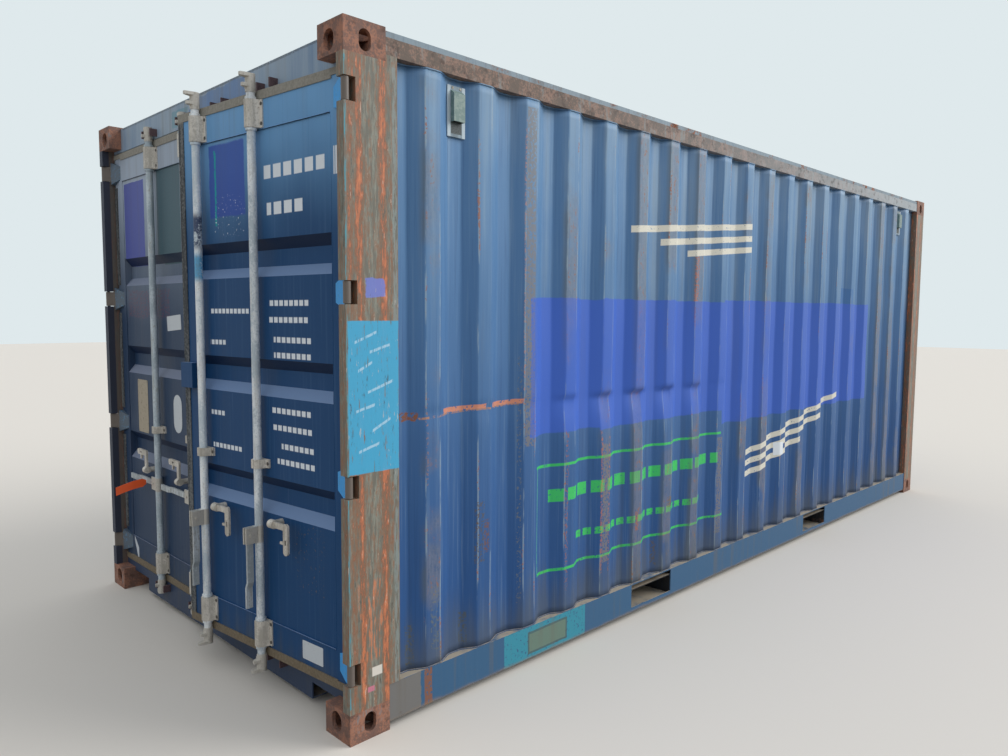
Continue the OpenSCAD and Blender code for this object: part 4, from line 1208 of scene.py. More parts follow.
@dataclass
class CorrugatedWall:
    """A side wall of pressed sheet with rounded bends and its dents."""

    side: Side
    crest_count: int = 20
    pitch: float = 0.2765
    crest: float = 0.072
    slope: float = 0.068
    sheet: float = 0.002
    bend: float = 0.009
    row: float = 0.036
    fine_row: float = 0.012
    creased: Span = (1.0, 1.3)
    dents: tuple[Dent, ...] = ()
    ripple: float = 0.0009

    @property
    def node(self) -> str:
        """Name of the frame's node that the wall stands for."""
        return f"{self.side.word}_side_wall"

    def build(self, shop: Workshop, finish: bpy.types.Material) -> bpy.types.Object:
        """Builds the wall, dents it and ties it to the frame.

        Args:
            shop: The shared finishes and trees.
            finish: The wall's finish.

        Returns:
            The wall.
        """
        low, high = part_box(self.node)
        outer = max(abs(low[1]), abs(high[1]))
        depth = high[1] - low[1] - self.sheet
        heights = self._rows(low[2], high[2])
        profile = self.bay_profile(depth)
        piece = self._strip(self.node + "_sheet", profile, heights, outer)
        grow_piece(piece, shop.bays, finish, count=self.crest_count, pitch=self.pitch)
        self._add_flanges(piece, heights, outer - depth, self.crest_count * self.pitch / 2, high[0])
        self._dent(piece, outer, depth)
        wall = piece.modifiers.new("sheet", "SOLIDIFY")
        wall.thickness = self.sheet
        wall.offset = -1
        for face in piece.data.polygons:
            face.use_smooth = True
        dress(piece, finish)
        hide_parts(self.node)
        shop.hang(piece, "container", "wall_paint")
        return piece

    def _rows(self, low: float, high: float) -> list[float]:
        """Divides the height into rows, finer where the sheet is creased."""
        rows = self._steps(low, high, self.row)
        if self.dents:
            start, end = self.creased
            spare = self.row / 2
            rows = [z for z in rows if not start - spare < z < end + spare]
            rows += self._steps(start, end, self.fine_row)
        return sorted(rows)

    @staticmethod
    def _steps(low: float, high: float, step: float) -> list[float]:
        """Divides a height into even steps."""
        count = max(1, round((high - low) / step))
        return [low + (high - low) * i / count for i in range(count + 1)]

    def bay_profile(self, depth: float) -> list[Span]:
        """Works out one crest's outline with rounded bends.

        Args:
            depth: Depth of the corrugation.

        Returns:
            Place along the wall and height above the recess of each point.
        """
        half = self.pitch / 2
        inner = self.crest / 2
        foot = inner + self.slope
        corners = [(-half, 0.0), (-foot, 0.0), (-inner, depth), (inner, depth), (foot, 0.0), (half, 0.0)]
        line: list[Span] = [corners[0]]
        for before, corner, after in zip(corners, corners[1:], corners[2:]):
            line += self._rounded(Vector(before), Vector(corner), Vector(after))
        line.append(corners[-1])
        return line

    def _rounded(self, before: Vector, corner: Vector, after: Vector) -> list[Span]:
        """Rounds one corner of the outline with a short curve."""
        first = corner + (before - corner).normalized() * self.bend
        last = corner + (after - corner).normalized() * self.bend
        points = []
        for i in range(5):
            t = i / 4
            place = first * (1 - t) ** 2 + corner * 2 * t * (1 - t) + last * t**2
            points.append((place.x, place.y))
        return points

    def _strip(
        self, name: str, profile: list[Span], heights: list[float], outer: float
    ) -> bpy.types.Object:
        """Makes the sheet of one bay, facing outwards.

        Args:
            name: The object's name.
            profile: The bay's outline.
            heights: Heights of its rows.
            outer: Distance of the crests from the container's middle.

        Returns:
            The bay's sheet.
        """
        deepest = max(rise for _, rise in profile)
        sign = self.side.value
        points = [(x, sign * (outer - deepest + rise), z) for z in heights for x, rise in profile]
        width = len(profile)
        faces = []
        for row in range(len(heights) - 1):
            for column in range(width - 1):
                corner = row * width + column
                quad = [corner, corner + 1, corner + width + 1, corner + width]
                faces.append(quad if sign < 0 else quad[::-1])
        return piece_from(name, points, faces)

    def _add_flanges(
        self, piece: bpy.types.Object, heights: list[float], inner: float, start: float, end: float
    ) -> None:
        """Adds the flat strips that meet the posts.

        Args:
            piece: The wall.
            heights: Heights of its rows.
            inner: Distance of the recesses from the container's middle.
            start: Distance of a strip's inner edge from the middle of the length.
            end: Distance of its outer edge.
        """
        form = bmesh.new()
        form.from_mesh(piece.data)
        sign = self.side.value
        for end_sign in (-1, 1):
            rows = [
                [form.verts.new((end_sign * x, sign * inner, z)) for x in (start, end)] for z in heights
            ]
            for lower, upper in zip(rows, rows[1:]):
                quad = [lower[0], lower[1], upper[1], upper[0]]
                form.faces.new(quad if end_sign * sign < 0 else quad[::-1])
        bmesh.ops.remove_doubles(form, verts=form.verts, dist=0.0003)
        form.to_mesh(piece.data)
        form.free()

    def _dent(self, piece: bpy.types.Object, outer: float, depth: float) -> None:
        """Pushes the sheet in at the dents and ripples its flats a little."""
        sign = self.side.value
        rim = 0.15
        for vertex in piece.data.vertices:
            x, y, z = vertex.co
            share = max(0.0, 1 - (outer - abs(y)) / depth)
            push = sum(dent.push(x, z) for dent in self.dents)
            above = (z - BOTTOM_RAIL_TOP) / rim
            below = (TOP_RAIL_UNDERSIDE - z) / rim
            edge = min(1.0, above, below, (POST_EDGE_X - abs(x)) / 0.1)
            wave = self.ripple * (math.sin(x * 7.3 + z * 5.1) + math.sin(z * 11.7 - x * 3.9))
            inward = min(push, depth * 0.9) * (0.12 + 0.88 * share) + wave + self.ripple * 2
            vertex.co.y = y - sign * inward * max(0.0, edge)


@dataclass
class DoorHardware:
    """What is fixed to one door: bracket screws and the welds round its panel."""

    side: Side
    rods: tuple[float, float] = (0.602, 0.181)
    plate_x: float = -2.973
    bracket_reach: float = 0.040
    bracket_rows: tuple[tuple[float, float], ...] = ((0.254, 0.038), (2.361, 0.038), (0.967, 0.0))
    screw: Fastener = Fastener(0.005, 0.0025, 10)
    weld_heights: Span = (0.3035, 2.3025)
    weld_run: Span = (0.11, 1.062)
    weld_edges: Span = (0.1075, 1.0645)
    weld_rise: Span = (0.306, 2.3)

    @property
    def body(self) -> str:
        """Name of the door's body."""
        return f"{self.side.word}_door"

    def build(self, shop: Workshop, paint: bpy.types.Material) -> None:
        """Builds the door's fasteners and weld beads.

        Args:
            shop: The shared finishes and trees.
            paint: The door's finish.
        """
        outward = door_outward(self.side)
        places = []
        for rod in self.rods:
            for centre, rise in self.bracket_rows:
                for row in sorted({-rise, rise}):
                    for reach in (-self.bracket_reach, self.bracket_reach):
                        seat = door_place(self.side, self.plate_x, rod + reach, centre + row)
                        places.append((seat, outward))
        name = f"{self.body}_bracket_screws"
        shop.fix(name, self.body, self.screw, places, shop.dark, "galvanised_steel")
        lines = []
        for height in self.weld_heights:
            lines.append([door_place(self.side, DOOR_FACE_X - 0.0005, y, height) for y in self.weld_run])
        for edge in self.weld_edges:
            lines.append([door_place(self.side, DOOR_FACE_X + 0.0015, edge, z) for z in self.weld_rise])
        shop.bead(f"{self.body}_panel_welds", self.body, lines, 0.0025, "door_paint", paint)


@dataclass
class CoverPlate:
    """A plate or sticker on a door, with rounded corners and rivets."""

    name: str
    side: Side
    y: float
    z: float
    width: float
    height: float
    finish: PlainFinish
    thickness: float = 0.0015
    corner: float = 0.008
    riveted: bool = False
    sink: float = 0.0
    tilt: float = 0.0
    rivet: Fastener = Fastener(0.003, 0.0015, 8)
    rivet_inset: float = 0.01

    def build(self, shop: Workshop) -> None:
        """Builds the plate and its rivets.

        Args:
            shop: The shared finishes and trees.
        """
        outline = self._outline()
        back = DOOR_FACE_X + 0.003 + self.sink
        points = []
        for x in (back - self.thickness, back):
            points += [door_place(self.side, x, self.y + u, self.z + v) for u, v in outline]
        count = len(outline)
        faces = [list(range(count)), list(range(2 * count - 1, count - 1, -1))]
        faces += [[i, count + i, count + (i + 1) % count, (i + 1) % count] for i in range(count)]
        piece = piece_from(self.name, points, faces)
        form = bmesh.new()
        form.from_mesh(piece.data)
        bmesh.ops.recalc_face_normals(form, faces=form.faces)
        form.to_mesh(piece.data)
        form.free()
        dress(piece, self.finish.build())
        body = f"{self.side.word}_door"
        shop.hang(piece, body, "galvanised_steel")
        if self.riveted:
            outward = door_outward(self.side)
            reach_u = self.width / 2 - self.rivet_inset
            reach_v = self.height / 2 - self.rivet_inset
            seats = [
                (door_place(self.side, back - self.thickness, self.y + u, self.z + v), outward)
                for u in (-reach_u, reach_u)
                for v in (-reach_v, reach_v)
            ]
            name = f"{self.name}_rivets"
            shop.fix(name, body, self.rivet, seats, shop.zinc, "galvanised_steel")

    def _outline(self) -> list[Span]:
        """Works out the plate's outline around its centre."""
        across = self.width / 2 - self.corner
        up = self.height / 2 - self.corner
        cos, sin = math.cos(math.radians(self.tilt)), math.sin(math.radians(self.tilt))
        points = []
        for quarter, (right, top) in enumerate(((1, 1), (-1, 1), (-1, -1), (1, -1))):
            for step in range(5):
                angle = math.pi / 2 * (quarter + step / 4)
                u = right * across + self.corner * math.cos(angle)
                v = top * up + self.corner * math.sin(angle)
                points.append((u * cos - v * sin, u * sin + v * cos))
        return points


@dataclass
class WallTrim:
    """Weld beads along the side walls and the screws of the ventilators."""

    bead: float = 0.003
    vent_x: float = 2.4885
    vent_face: float = 1.18675
    vent_screw_z: float = 2.4585
    vent_screw: Fastener = Fastener(0.0035, 0.002, 10)

    def build(self, shop: Workshop, paints: dict[str, bpy.types.Material]) -> None:
        """Builds the beads and screws.

        Args:
            shop: The shared finishes and trees.
            paints: The finishes of the painted sheets, by name.
        """
        for side in Side:
            wall = CorrugatedWall(side)
            low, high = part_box(wall.node)
            outer = max(abs(low[1]), abs(high[1]))
            depth = high[1] - low[1] - wall.sheet
            profile = wall.bay_profile(depth)
            line: list[Span] = [(low[0] + 0.004, 0.0)]
            for bay in range(wall.crest_count):
                centre = (bay - (wall.crest_count - 1) / 2) * wall.pitch
                line += [(centre + x, rise) for x, rise in profile[1:-1]]
            line.append((high[0] - 0.004, 0.0))
            paths = [
                [(x, side.value * (outer - depth + rise + 0.001), z) for x, rise in line]
                for z in (low[2] + 0.002, high[2] - 0.002)
            ]
            paint = paints[f"{side.word}_wall"]
            shop.bead(f"{side.word}_wall_welds", "container", paths, self.bead, "wall_paint", paint)
        self._vent_screws(shop)

    def _vent_screws(self, shop: Workshop) -> None:
        """Sets the screws that hold the ventilators."""
        places = []
        for side in Side:
            for end in (-self.vent_x, self.vent_x):
                for across in (-0.02, 0.02):
                    seat = Vector((end + across, side.value * self.vent_face, self.vent_screw_z))
                    places.append((seat, Vector((0, side.value, 0))))
        shop.fix(
            "ventilator_screws", "container", self.vent_screw, places, shop.zinc, "galvanised_steel"
        )


@dataclass
class SealTag:
    """An orange strip seal that sticks out from the left door's outer handle.

    Attributes:
        y: Its place across the door.
        z: Its height.
        x: Where it starts on the handle.
        length: How far it sticks out.
        width: Its width.
        thickness: Its thickness.
        drift: How far its end swings sideways.
        arch: How far its middle rises.
        drop: How far its end hangs.
        steps: Number of its bends.
    """

    y: float = 0.74
    z: float = 0.67
    x: float = -3.008
    length: float = 0.144
    width: float = 0.044
    thickness: float = 0.002
    drift: float = 0.03
    arch: float = 0.008
    drop: float = 0.038
    steps: int = 8

    def build(self, shop: Workshop) -> None:
        """Builds the strip as a bent plate.

        Args:
            shop: The shared finishes and trees.
        """
        points = []
        faces = []
        for i in range(self.steps + 1):
            t = i / self.steps
            x = self.x - self.length * t
            y = self.y + self.drift * t * t
            z = self.z + self.arch * math.sin(t * 3.0) - self.drop * t
            half = self.width / 2 * (0.5 if i == 0 else 1.0)
            points += [(x, y, z + half), (x, y, z - half)]
            if i:
                faces.append([2 * i - 2, 2 * i - 1, 2 * i + 1, 2 * i])
        piece = piece_from("orange_seal_strip", points, faces)
        wall = piece.modifiers.new("thickness", "SOLIDIFY")
        wall.thickness = self.thickness
        dress(piece, PlainFinish("seal_orange", "#f0602c", "#8d4a30", 0.25, 0.45).build())
        shop.hang(piece, "left_outer_handle", "hinge_paint")
        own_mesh(piece)


class PaintScheme:
    """All finishes of the container and the nodes they go on."""

    CREAM = "#dedacb"
    WHITE = "#e6ecf1"
    GREEN = "#3fc465"
    VIOLET = "#3f66c4"
    SKY = "#3da7d0"
    TEAL = "#3b93a6"
    PRIMER = "#cf8a72"
    WALL = "#5983ad"
    WALL_LOW = "#2d568c"

    def side_marks(self) -> tuple[PaintMark, ...]:
        """Lists the paint on the right side wall, from the lowest layer up."""
        violet = (
            PaintMark((-2.07, -1.55), (1.035, 1.655), self.VIOLET, wander=0.012, edge=0.004, cover=0.88),
            PaintMark((-1.56, -0.4), (1.022, 1.66), self.VIOLET, wander=0.014, edge=0.004, cover=0.88),
            PaintMark((-0.405, 1.9), (0.935, 1.672), self.VIOLET, wander=0.014, edge=0.004, cover=0.86),
        )
        primer = PaintMark((-2.56, -2.34), (1.186, 1.207), self.PRIMER, 0.02, wander=0.007, wear=0.2)
        last = (
            *(replace(patch, cover=0.5) for patch in violet),
            *(
                PaintMark((far, -0.08), (z, z + 0.034), self.CREAM, slope=0.09, wear=0.06)
                for far, z in ((-1.32, 2.05), (-1.05, 1.99), (-0.78, 1.935))
            ),
            *(
                PaintMark((-0.03, far), (z, z + 0.036), self.CREAM, slope=0.22, wear=0.06)
                for far, z in ((1.32, 0.845), (1.0, 0.74), (0.68, 0.635))
            ),
            PaintMark((0.33, 0.42), (0.655, 0.74), self.WHITE),
            PaintMark((2.118, 2.138), (0.95, 1.62), self.WHITE, cover=0.7, wear=0.2, dash=0.06),
            primer,
            replace(primer, across=(-2.29, -2.11), up=(1.192, 1.213)),
            PaintMark((-2.77, -2.69), (1.17, 1.2), "#7d5140", wander=0.02, wear=0.35),
            PaintMark((-2.69, -2.1), (1.182, 1.19), "#a9806c", slope=0.03, wander=0.008, wear=0.4),
        )
        return (
            PaintMark((1.3, 1.52), (1.62, 1.79), "#2d68a6", wander=0.02, cover=0.6),
            PaintMark((-2.01, -0.41), (0.88, 0.893), self.GREEN, wear=0.12),
            PaintMark((-2.0, -0.32), (0.382, 0.395), self.GREEN, wear=0.15),
            PaintMark((-2.004, -1.996), (0.395, 0.88), "#62b08a", wear=0.2, cover=0.8),
            PaintMark((-1.91, -0.44), (0.712, 0.772), self.GREEN, wear=0.1, dash=0.075),
            PaintMark((-1.72, -0.59), (0.505, 0.54), self.GREEN, wear=0.15, dash=0.05),
            *violet,
            *self._rubbed_strips(),
            *(replace(mark, fresh=True) for mark in last),
        )

    @staticmethod
    def _rubbed_strips() -> tuple[PaintMark, ...]:
        """Lists the strips that are rubbed or rusted along single crests."""
        strips = (
            (-2.104, -2.046, 1.0, 2.46, "#7f7870", 0.3),
            (-2.114, -2.106, 1.25, 2.42, "#c08b74", 0.5),
            (-1.828, -1.806, 0.28, 1.05, "#9a6049", 0.55),
            (-1.558, -1.546, 0.3, 1.02, "#b86f4d", 0.4),
            (-1.498, -1.486, 0.3, 0.98, "#b86f4d", 0.5),
            (-1.545, -1.499, 0.35, 0.95, "#84796f", 0.35),
            (-1.266, -1.238, 0.46, 0.56, "#a5623f", 0.35),
            (-0.738, -0.7, 1.66, 1.92, "#b86a45", 0.45),
            (-0.446, -0.392, 0.28, 0.86, "#7c746e", 0.35),
            (-2.352, -2.322, 0.58, 0.72, "#74503e", 0.4),
            (-2.665, -2.652, 0.9, 1.3, "#9a7461", 0.6),
            (-2.39, -2.378, 1.9, 2.3, "#a1786a", 0.6),
            (-2.4, -2.35, 0.54, 0.8, "#5e5443", 0.5),
            (-2.465, -2.43, 0.2, 0.34, "#4f5247", 0.45),
            (-2.745, -2.71, 0.2, 0.36, "#5a5a4c", 0.5),
            (-1.075, -1.04, 0.22, 0.36, "#5f513e", 0.45),
            (-0.965, -0.925, 0.53, 0.59, "#7a6236", 0.4),
            (-2.64, -2.6, 0.24, 0.5, "#6c7474", 0.55),
            (-2.14, -2.12, 0.3, 1.4, "#6f7476", 0.6),
        )
        base = PaintMark((0.0, 0.0), (0.0, 0.0), "", wander=0.004, edge=0.003, cover=0.7, fresh=True)
        return tuple(
            replace(base, across=(left, right), up=(low, high), colour=code, wear=wear)
            for left, right, low, high, code, wear in strips
        )

    def post_marks(self) -> tuple[PaintMark, ...]:
        """Lists the paint on the right rear post's side face."""
        base = PaintMark((0.0, 0.0), (0.0, 0.0), "#b4d6e8", wander=0.008, cover=0.75, wear=0.25)
        strokes = tuple(
            replace(base, across=(left, right), up=(z, z + 0.01), slope=slope)
            for left, right, z, slope in (
                (-2.995, -2.9, 1.49, 0.4), (-2.93, -2.84, 1.45, 0.3), (-2.98, -2.92, 1.385, 0.5),
                (-2.94, -2.83, 1.31, 0.35), (-2.99, -2.91, 1.235, 0.25), (-2.92, -2.84, 1.17, 0.5),
                (-2.98, -2.89, 1.09, 0.3),
            )
        )
        rim = PaintMark(
            (-3.03, -3.022), (0.14, 2.46), "#3f93a3", wander=0.006, edge=0.004, cover=0.9, wear=0.4
        )
        return (
            rim,
            replace(rim, across=(-2.825, -2.806), colour="#838f8d", cover=0.8, wear=0.3),
            replace(
                rim, across=(-2.985, -2.87), up=(0.3, 0.6), colour="#cd7b52", wander=0.02, edge=0.01,
                cover=0.8, wear=0.55,
            ),
            PaintMark((-3.022, -2.801), (1.004, 1.554), self.SKY, wander=0.006, cover=0.94, wear=0.08),
            PaintMark((-2.943, -2.865), (1.637, 1.71), "#727fcb", wander=0.02, cover=0.9),
            *strokes,
            PaintMark((-2.93, -2.885), (0.235, 0.27), "#d9d3c8", wander=0.0),
            PaintMark((-2.95, -2.92), (0.18, 0.2), "#c77a8c", wander=0.0),
        )

    def right_door_marks(self) -> tuple[PaintMark, ...]:
        """Lists the paint on the right door: patches and plain bars."""
        bars = (
            ((-1.02, -0.637), 2.134, 0.026, 0.05), ((-1.13, -1.075), 2.131, 0.05, 0.012),
            ((-0.885, -0.653), 1.99, 0.024, 0.05),
            ((-0.912, -0.654), 1.619, 0.011, 0.024), ((-0.907, -0.654), 1.553, 0.011, 0.024),
            ((-0.924, -0.684), 1.474, 0.011, 0.024), ((-0.922, -0.684), 1.412, 0.011, 0.024),
            ((-0.917, -0.661), 1.19, 0.011, 0.024), ((-0.922, -0.666), 1.121, 0.011, 0.024),
            ((-0.932, -0.725), 1.048, 0.011, 0.024), ((-0.937, -0.696), 0.985, 0.011, 0.024),
            ((-0.512, -0.219), 1.587, 0.01, 0.022), ((-0.333, -0.213), 1.453, 0.01, 0.022),
            ((-0.312, -0.207), 1.145, 0.01, 0.022), ((-0.438, -0.217), 1.001, 0.01, 0.022),
        )
        return (
            PaintMark((-0.5, -0.234), (1.985, 2.285), "#3550a8", wander=0.014, edge=0.006, cover=0.85),
            PaintMark((-0.286, -0.274), (1.95, 2.26), "#1f9fa3", wander=0.016, wear=0.15),
            PaintMark((-0.5, -0.27), (1.9, 2.07), "#d9e2ea", wander=0.03, wear=0.8),
            PaintMark((-0.99, -0.8), (0.48, 0.78), "#6b6254", wander=0.04, wear=0.75, cover=0.5),
            *(
                PaintMark(across, (z - half, z + half), self.WHITE, wander=0.001, dash=dash)
                for across, z, half, dash in bars
            ),
        )

    def left_door_marks(self) -> tuple[PaintMark, ...]:
        """Lists the paint on the left door."""
        return (
            PaintMark((0.304, 0.593), (1.827, 2.305), "#3b5a63", wander=0.008, cover=0.9),
            PaintMark((0.768, 1.05), (1.831, 2.281), "#4650a4", wander=0.008, cover=0.9),
            PaintMark((0.458, 1.027), (1.55, 1.7), "#7a4455", wander=0.03, wear=0.5, cover=0.5),
            PaintMark((0.175, 0.256), (1.118, 1.13), self.WHITE),
            PaintMark((0.99, 1.05), (0.2, 0.29), self.WHITE, slope=1.5, taper=0.3, cover=0.8),
        )

    def apply(self, shop: Workshop) -> dict[str, bpy.types.Material]:
        """Builds every finish and dresses the frame's nodes.

        Args:
            shop: The shared finishes and trees.

        Returns:
            The finishes of the two side walls and the two doors, by name.
        """
        nodes = list(shop.frame["nodes"])
        paints = self._sheet_paints()
        self._dress_frame(shop, nodes)
        self._dress_posts(shop, nodes)
        for side in Side:
            frame_nodes = [f"{side.word}_door_frame", f"{side.word}_door_panel"]
            shop.dress_nodes(paints[f"{side.word}_door"], frame_nodes)
        shop.dress_each(
            (HingeCoat("right_hinge_paint", Side.RIGHT, "#3aa0e6"), ["right_door_hinges"]),
            (HingeCoat("left_hinge_paint", Side.LEFT, "#566472"), ["left_door_hinges"]),
            (DustyRubber("door_gasket_rubber"), ["right_door_gasket", "left_door_gasket"]),
        )
        self._dress_gear(shop, nodes)
        return paints

    def _sheet_paints(self) -> dict[str, bpy.types.Material]:
        """Builds the finishes of the walls and doors."""
        right_wall = WeatheredPaint(
            "right_wall_paint", self.WALL, self.WALL_LOW, marks=self.side_marks(), rust=0.04,
            fading=0.42, dirt=0.2, stain=0.45, wear=CrestWear(0.5, 0.4),
        )
        left_wall = replace(
            right_wall, name="left_wall_paint", marks=(), rust=0.08, wear=CrestWear(0.45, 0.45), shift=11
        )
        # On the doors, under is painted shade on the ribs' slopes that look down, and the pale ledge
        # tone is dust and painted highlight on the slopes that look up.
        right_door = WeatheredPaint(
            "right_door_paint", "#74a8d6", "#1f4874", "#7fa0c2", Plane.END, self.right_door_marks(),
            rust=0.02, fading=0.12, threads=0.1, dirt=0.08, stain=0.3, ledge=0.75,
            ledge_colour="#7f98bd", steep=True, under=0.9, roughness=0.42, gloss=0.12,
            span=(1.75, 2.5), shift=51,
        )
        left_door = replace(
            right_door, name="left_door_paint", colour="#a5b2c2", low="#2d415c", faded="#9aa0a8",
            ledge_colour="#8a92a6", marks=self.left_door_marks(), rust=0.04, dirt=0.15, soot="#5f5b62",
            span=(1.45, 2.4), shift=61,
        )
        paints = (right_wall, left_wall, right_door, left_door)
        return {paint.name.removesuffix("_paint"): paint.build() for paint in paints}

    def _dress_frame(self, shop: Workshop, nodes: Sequence[str]) -> None:
        """Dresses rails, end frames, roof, floor and underframe."""
        top = BOTTOM_RAIL_TOP
        low_rail = WeatheredPaint(
            "bottom_rail_paint", "#3b6183", faded="#6b8398", rust=0.2, fading=0.25, threads=0.06,
            dirt=0.4, soot="#6d665a", shift=21, ledge=0.9, ledge_colour="#b3a691",
            marks=(
                PaintMark((-2.232, -1.676), (0.03, top), self.TEAL, wander=0.004, cover=0.88, wear=0.15),
                PaintMark((-2.08, -1.81), (0.05, 0.153), "#54513f", wander=0.006, cover=0.7),
                PaintMark((-2.07, -1.82), (0.06, 0.143), "#6c8274", wander=0.006, cover=0.9),
                PaintMark((-2.68, -2.64), (0.02, top), "#8a5a3e", wander=0.008, cover=0.85, wear=0.2),
                PaintMark((-2.86, -2.7), (0.03, top), "#857a68", wander=0.02, cover=0.7),
                # Pale line along the rail's lower edge: a painted highlight.
                PaintMark((-2.86, 2.86), (-0.01, 0.034), "#8c7a66", wander=0.014, edge=0.012, cover=0.7),
            ),
        )
        top_rail = CastSteel("top_rail_rust", "#6a5d54", "#95796b", "#858c8b", 0.55, "#b4c0c6")
        plain = WeatheredPaint(
            "end_wall_paint", self.WALL, self.WALL_LOW, rust=0.2, fading=0.4, dirt=0.35, stain=0.4,
            shift=5,
        )
        edges = tuple(
            PaintMark(across, (2.4, 2.7), code, wander=0.006, cover=0.95, wear=wear, fresh=True)
            for across in ((-1.23, -1.13), (1.13, 1.23))
            for code, wear in (("#6d6058", 0.0), ("#957a6c", 0.5))
        )
        roof = WeatheredPaint(
            "roof_paint", "#567286", faded="#8c9aa2", plane=Plane.TOP, marks=edges, rust=0.5, fading=0.7,
            dirt=0.5, soot="#59595a", ledge=0.5, ledge_colour="#85857e", shift=17,
        )
        header = WeatheredPaint(
            "header_paint", "#738ca8", faded="#a5b4c0", plane=Plane.END, rust=0.15, fading=0.4,
            threads=0.08, dirt=0.4, soot="#6b6d6e", shift=41, steep=True,
            marks=(
                PaintMark((-0.4, 0.16), (2.47, 2.57), "#4c74ad", wander=0.03, cover=0.6),
                PaintMark((0.18, 0.36), (2.47, 2.55), "#4f8f9c", wander=0.03, cover=0.5),
                PaintMark((-1.03, 1.03), (2.572, 2.586), "#4d5258", wander=0.006, cover=0.6, wear=0.2),
            ),
        )
        sill = WeatheredPaint(
            "sill_paint", "#34425a", faded="#5e6268", plane=Plane.END, rust=0.2, fading=0.3, threads=0.1,
            dirt=0.4, shift=43,
        )
        under = WeatheredPaint("underside_tar", "#24262a", faded="#3c3a38", rust=0.5, shift=81)
        shop.dress_each(
            (low_rail, nodes),
            (top_rail, ["right_top_rail", "left_top_rail"]),
            (plain, ["front_end_wall", "front_header", "front_sill"]),
            (roof, ["roof_panel"]),
            (header, ["rear_header"]),
            (sill, ["rear_sill"]),
            (VentCoat("ventilator_paint"), ["ventilators"]),
            (FloorBoards("floor_boards"), ["floor_deck"]),
            (under, ["cross_members", "fork_pockets"]),
        )

    def _dress_posts(self, shop: Workshop, nodes: Sequence[str]) -> None:
        """Dresses the corner castings, posts and cam keepers."""
        shop.dress_each(
            (CastSteel("corner_casting_rust"), [n for n in nodes if "_casting_" in n]),
            (PlainFinish("keeper_steel", "#5a4649", "#33292b", 0.5, 0.6), ["cam_keepers"]),
            (StreakedPaint("right_rear_post_paint", self.post_marks(), shift=31), ["rear_post_right"]),
            (StreakedPaint("left_rear_post_paint", shaded=True, shift=33), ["rear_post_left"]),
            (StreakedPaint("front_post_paint", shift=37), ["front_post_right", "front_post_left"]),
        )

    @staticmethod
    def _dress_gear(shop: Workshop, nodes: Sequence[str]) -> None:
        """Dresses rods, brackets, catches and handles."""
        fittings: tuple[Span, ...] = ((0.09, 0.166), (2.443, 2.52), (0.64, 0.71))
        bands = (((1.72, 1.83), "#5fa6cf"), ((1.86, 2.0), "#3d4a66"))
        right_rod = ZincCoat("rod_zinc", (), fittings, "#b3bec5", "#e8ecee", 0.35)
        # The inner rod's zinc is a paler copy of the outer rod's, painted light that offsets the shade
        # it stands in; its bands are paint.
        painted = replace(
            right_rod, name="painted_rod_zinc", bands=bands, colour="#c4cfd6", bloom="#f0f3f4"
        )
        shop.dress_each(
            (right_rod, ["right_outer_rod"]),
            (painted, ["right_inner_rod"]),
            (
                ZincCoat("left_rod_zinc", (), fittings, "#a3b0b8", "#c8d3d9", 0.45),
                ["left_outer_rod", "left_inner_rod"],
            ),
            (
                ZincCoat("bracket_cream", colour="#b3ada2", bloom="#dfd9cf", grime=0.6, rust=0.12),
                [n for n in nodes if n.endswith(("_rod_brackets", "_handle_catches"))],
            ),
            (
                ZincCoat("handle_zinc", colour="#9fa6a8", bloom="#c6cdd0", grime=0.6, rust=0.1),
                [n for n in nodes if n.endswith("_handle")],
            ),
        )


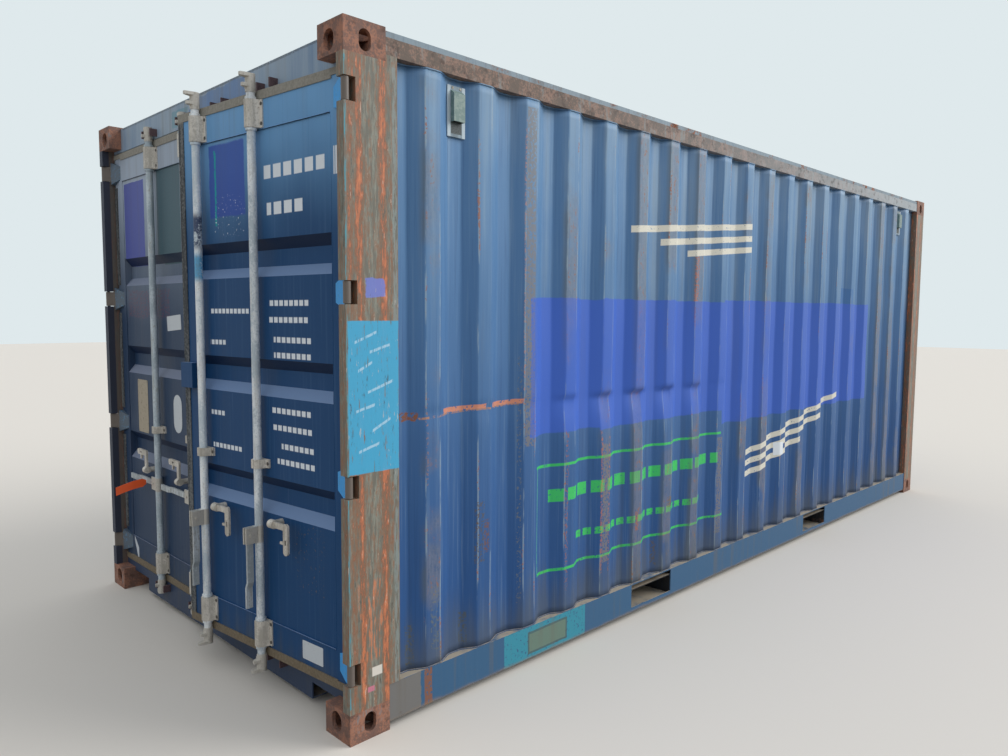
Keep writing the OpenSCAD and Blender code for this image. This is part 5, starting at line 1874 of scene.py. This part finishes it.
@dataclass(frozen=True)
class Studio:
    """Floor, light and the camera at the photograph's viewing angle."""

    camera_place: Point = (-4.551, -3.521, 1.58)
    azimuth: float = 44.98
    tilt: float = 4.702
    roll: float = 0.347
    lens: float = 27.63

    def build(self) -> None:
        """Builds the floor, the lights and the camera."""
        self._camera()
        self._lights()
        self._floor()
        self._world()
        bpy.context.scene.view_settings.view_transform = "Standard"

    def _camera(self) -> None:
        """Places the camera as solved from the corner castings."""
        azimuth = math.radians(self.azimuth)
        tilt = math.radians(self.tilt)
        roll = math.radians(self.roll)
        flat = math.cos(tilt)
        back = Vector((-math.cos(azimuth) * flat, -math.sin(azimuth) * flat, math.sin(tilt)))
        right = Vector((0, 0, 1)).cross(back).normalized()
        up = back.cross(right)
        level = right * math.cos(roll) + up * math.sin(roll)
        rise = up * math.cos(roll) - right * math.sin(roll)
        data = bpy.data.cameras.new("camera")
        data.lens = self.lens
        data.sensor_width = 36.0
        data.sensor_fit = "HORIZONTAL"
        data.clip_end = 200.0
        camera = bpy.data.objects.new("camera", data)
        bpy.context.scene.collection.objects.link(camera)
        turn = Matrix((level, rise, back)).transposed().to_4x4()
        camera.matrix_world = Matrix.Translation(self.camera_place) @ turn
        bpy.context.scene.camera = camera

    @staticmethod
    def _lights() -> None:
        """Adds a broad sun over the blind end and a soft glow from above."""
        lamps = (
            ("broad_sun", 2.1, 40.0, (-0.75, 0.62, -0.5)),
            ("overhead_glow", 0.6, 120.0, (0.15, 0.2, -1.0)),
        )
        for name, energy, angle, travel in lamps:
            data = bpy.data.lights.new(name, "SUN")
            data.energy = energy
            data.angle = math.radians(angle)
            sun = bpy.data.objects.new(name, data)
            sun.rotation_euler = Vector(travel).to_track_quat("-Z", "Y").to_euler()
            bpy.context.scene.collection.objects.link(sun)

    @staticmethod
    def _shown(tree: bpy.types.NodeTree) -> bpy.types.NodeSocket:
        """Tells which rays see the background: those of the camera, of gloss and of glass."""
        path = tree.nodes.new("ShaderNodeLightPath")
        share = path.outputs["Is Camera Ray"]
        for ray in ("Is Glossy Ray", "Is Transmission Ray"):
            either = tree.nodes.new("ShaderNodeMath")
            either.operation = "MAXIMUM"
            tree.links.new(share, either.inputs[0])
            tree.links.new(path.outputs[ray], either.inputs[1])
            share = either.outputs[0]
        return share

    def _floor(self) -> None:
        """Lays a plain floor, which shows pale but casts less light onto the object."""
        reach = 40.0
        points = [(-reach, -reach, 0), (reach, -reach, 0), (reach, reach, 0), (-reach, reach, 0)]
        floor = piece_from("pale_floor", points, [(0, 1, 2, 3)])
        sheet = ShaderSheet("floor_paint")
        colour = sheet.blend(self._shown(sheet.tree), srgb("#8f8578"), srgb("#dad3c9"))
        dress(floor, sheet.finish(colour, 0.9))

    def _world(self) -> None:
        """Lights the scene evenly and shows a pale background."""
        world = bpy.data.worlds.new("overcast")
        bpy.context.scene.world = world
        world.use_nodes = True
        tree = world.node_tree
        tree.nodes.clear()
        light = tree.nodes.new("ShaderNodeBackground")
        light.inputs["Color"].default_value = srgb("#e6edf5")
        light.inputs["Strength"].default_value = 0.72
        shown = tree.nodes.new("ShaderNodeBackground")
        shown.inputs["Color"].default_value = srgb("#dfe9ec")
        shown.inputs["Strength"].default_value = 1.0
        choice = tree.nodes.new("ShaderNodeMixShader")
        leave = tree.nodes.new("ShaderNodeOutputWorld")
        tree.links.new(self._shown(tree), choice.inputs[0])
        tree.links.new(light.outputs[0], choice.inputs[1])
        tree.links.new(shown.outputs[0], choice.inputs[2])
        tree.links.new(choice.outputs[0], leave.inputs[0])


def main() -> None:
    """Builds the container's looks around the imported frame."""
    logging.basicConfig(level=logging.INFO, format="%(message)s")
    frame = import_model()
    shop = Workshop(frame)
    paints = PaintScheme().apply(shop)
    dents = (
        Dent(-2.43, 1.195, 0.33, 0.02, 0.05, 0.005),
        Dent(-1.797, 1.185, 0.07, 0.016, 0.12, 0.012),
        Dent(-1.521, 1.18, 0.07, 0.014, 0.15, 0.02),
        Dent(-1.244, 1.178, 0.08, 0.014, 0.17, 0.026),
        Dent(-0.968, 1.176, 0.08, 0.014, 0.17, 0.026),
        Dent(-0.691, 1.172, 0.07, 0.016, 0.14, 0.02),
        Dent(-1.2, 1.18, 0.75, 0.02, 0.06, 0.007),
    )
    CorrugatedWall(Side.RIGHT, dents=dents).build(shop, paints["right_wall"])
    CorrugatedWall(Side.LEFT).build(shop, paints["left_wall"])
    WallTrim().build(shop, paints)
    for side in Side:
        DoorHardware(side).build(shop, paints[f"{side.word}_door"])
    beige = PlainFinish("plate_beige", "#aea28e", share=0.45, roughness=0.6)
    white = PlainFinish("sticker_white", "#ccd2d6", share=0.25, roughness=0.5)
    film = 0.0008
    plates = (
        CoverPlate("data_plate", Side.LEFT, 0.861, 1.067, 0.14, 0.29, beige, riveted=True),
        CoverPlate("oval_sticker", Side.LEFT, 0.401, 1.066, 0.1, 0.196, white, film, 0.0498),
        CoverPlate("wide_sticker", Side.LEFT, 0.417, 1.527, 0.17, 0.075, white, film, 0.004, tilt=-4),
        CoverPlate("small_sticker", Side.LEFT, 0.211, 1.472, 0.06, 0.05, white, film, 0.003),
        CoverPlate(
            "low_sticker", Side.RIGHT, 0.916, 0.247, 0.13, 0.075, white, film, 0.004, sink=-0.003
        ),
    )
    for plate in plates:
        plate.build(shop)
    SealTag().build(shop)
    Studio().build()


if __name__ == "__main__":
    main()
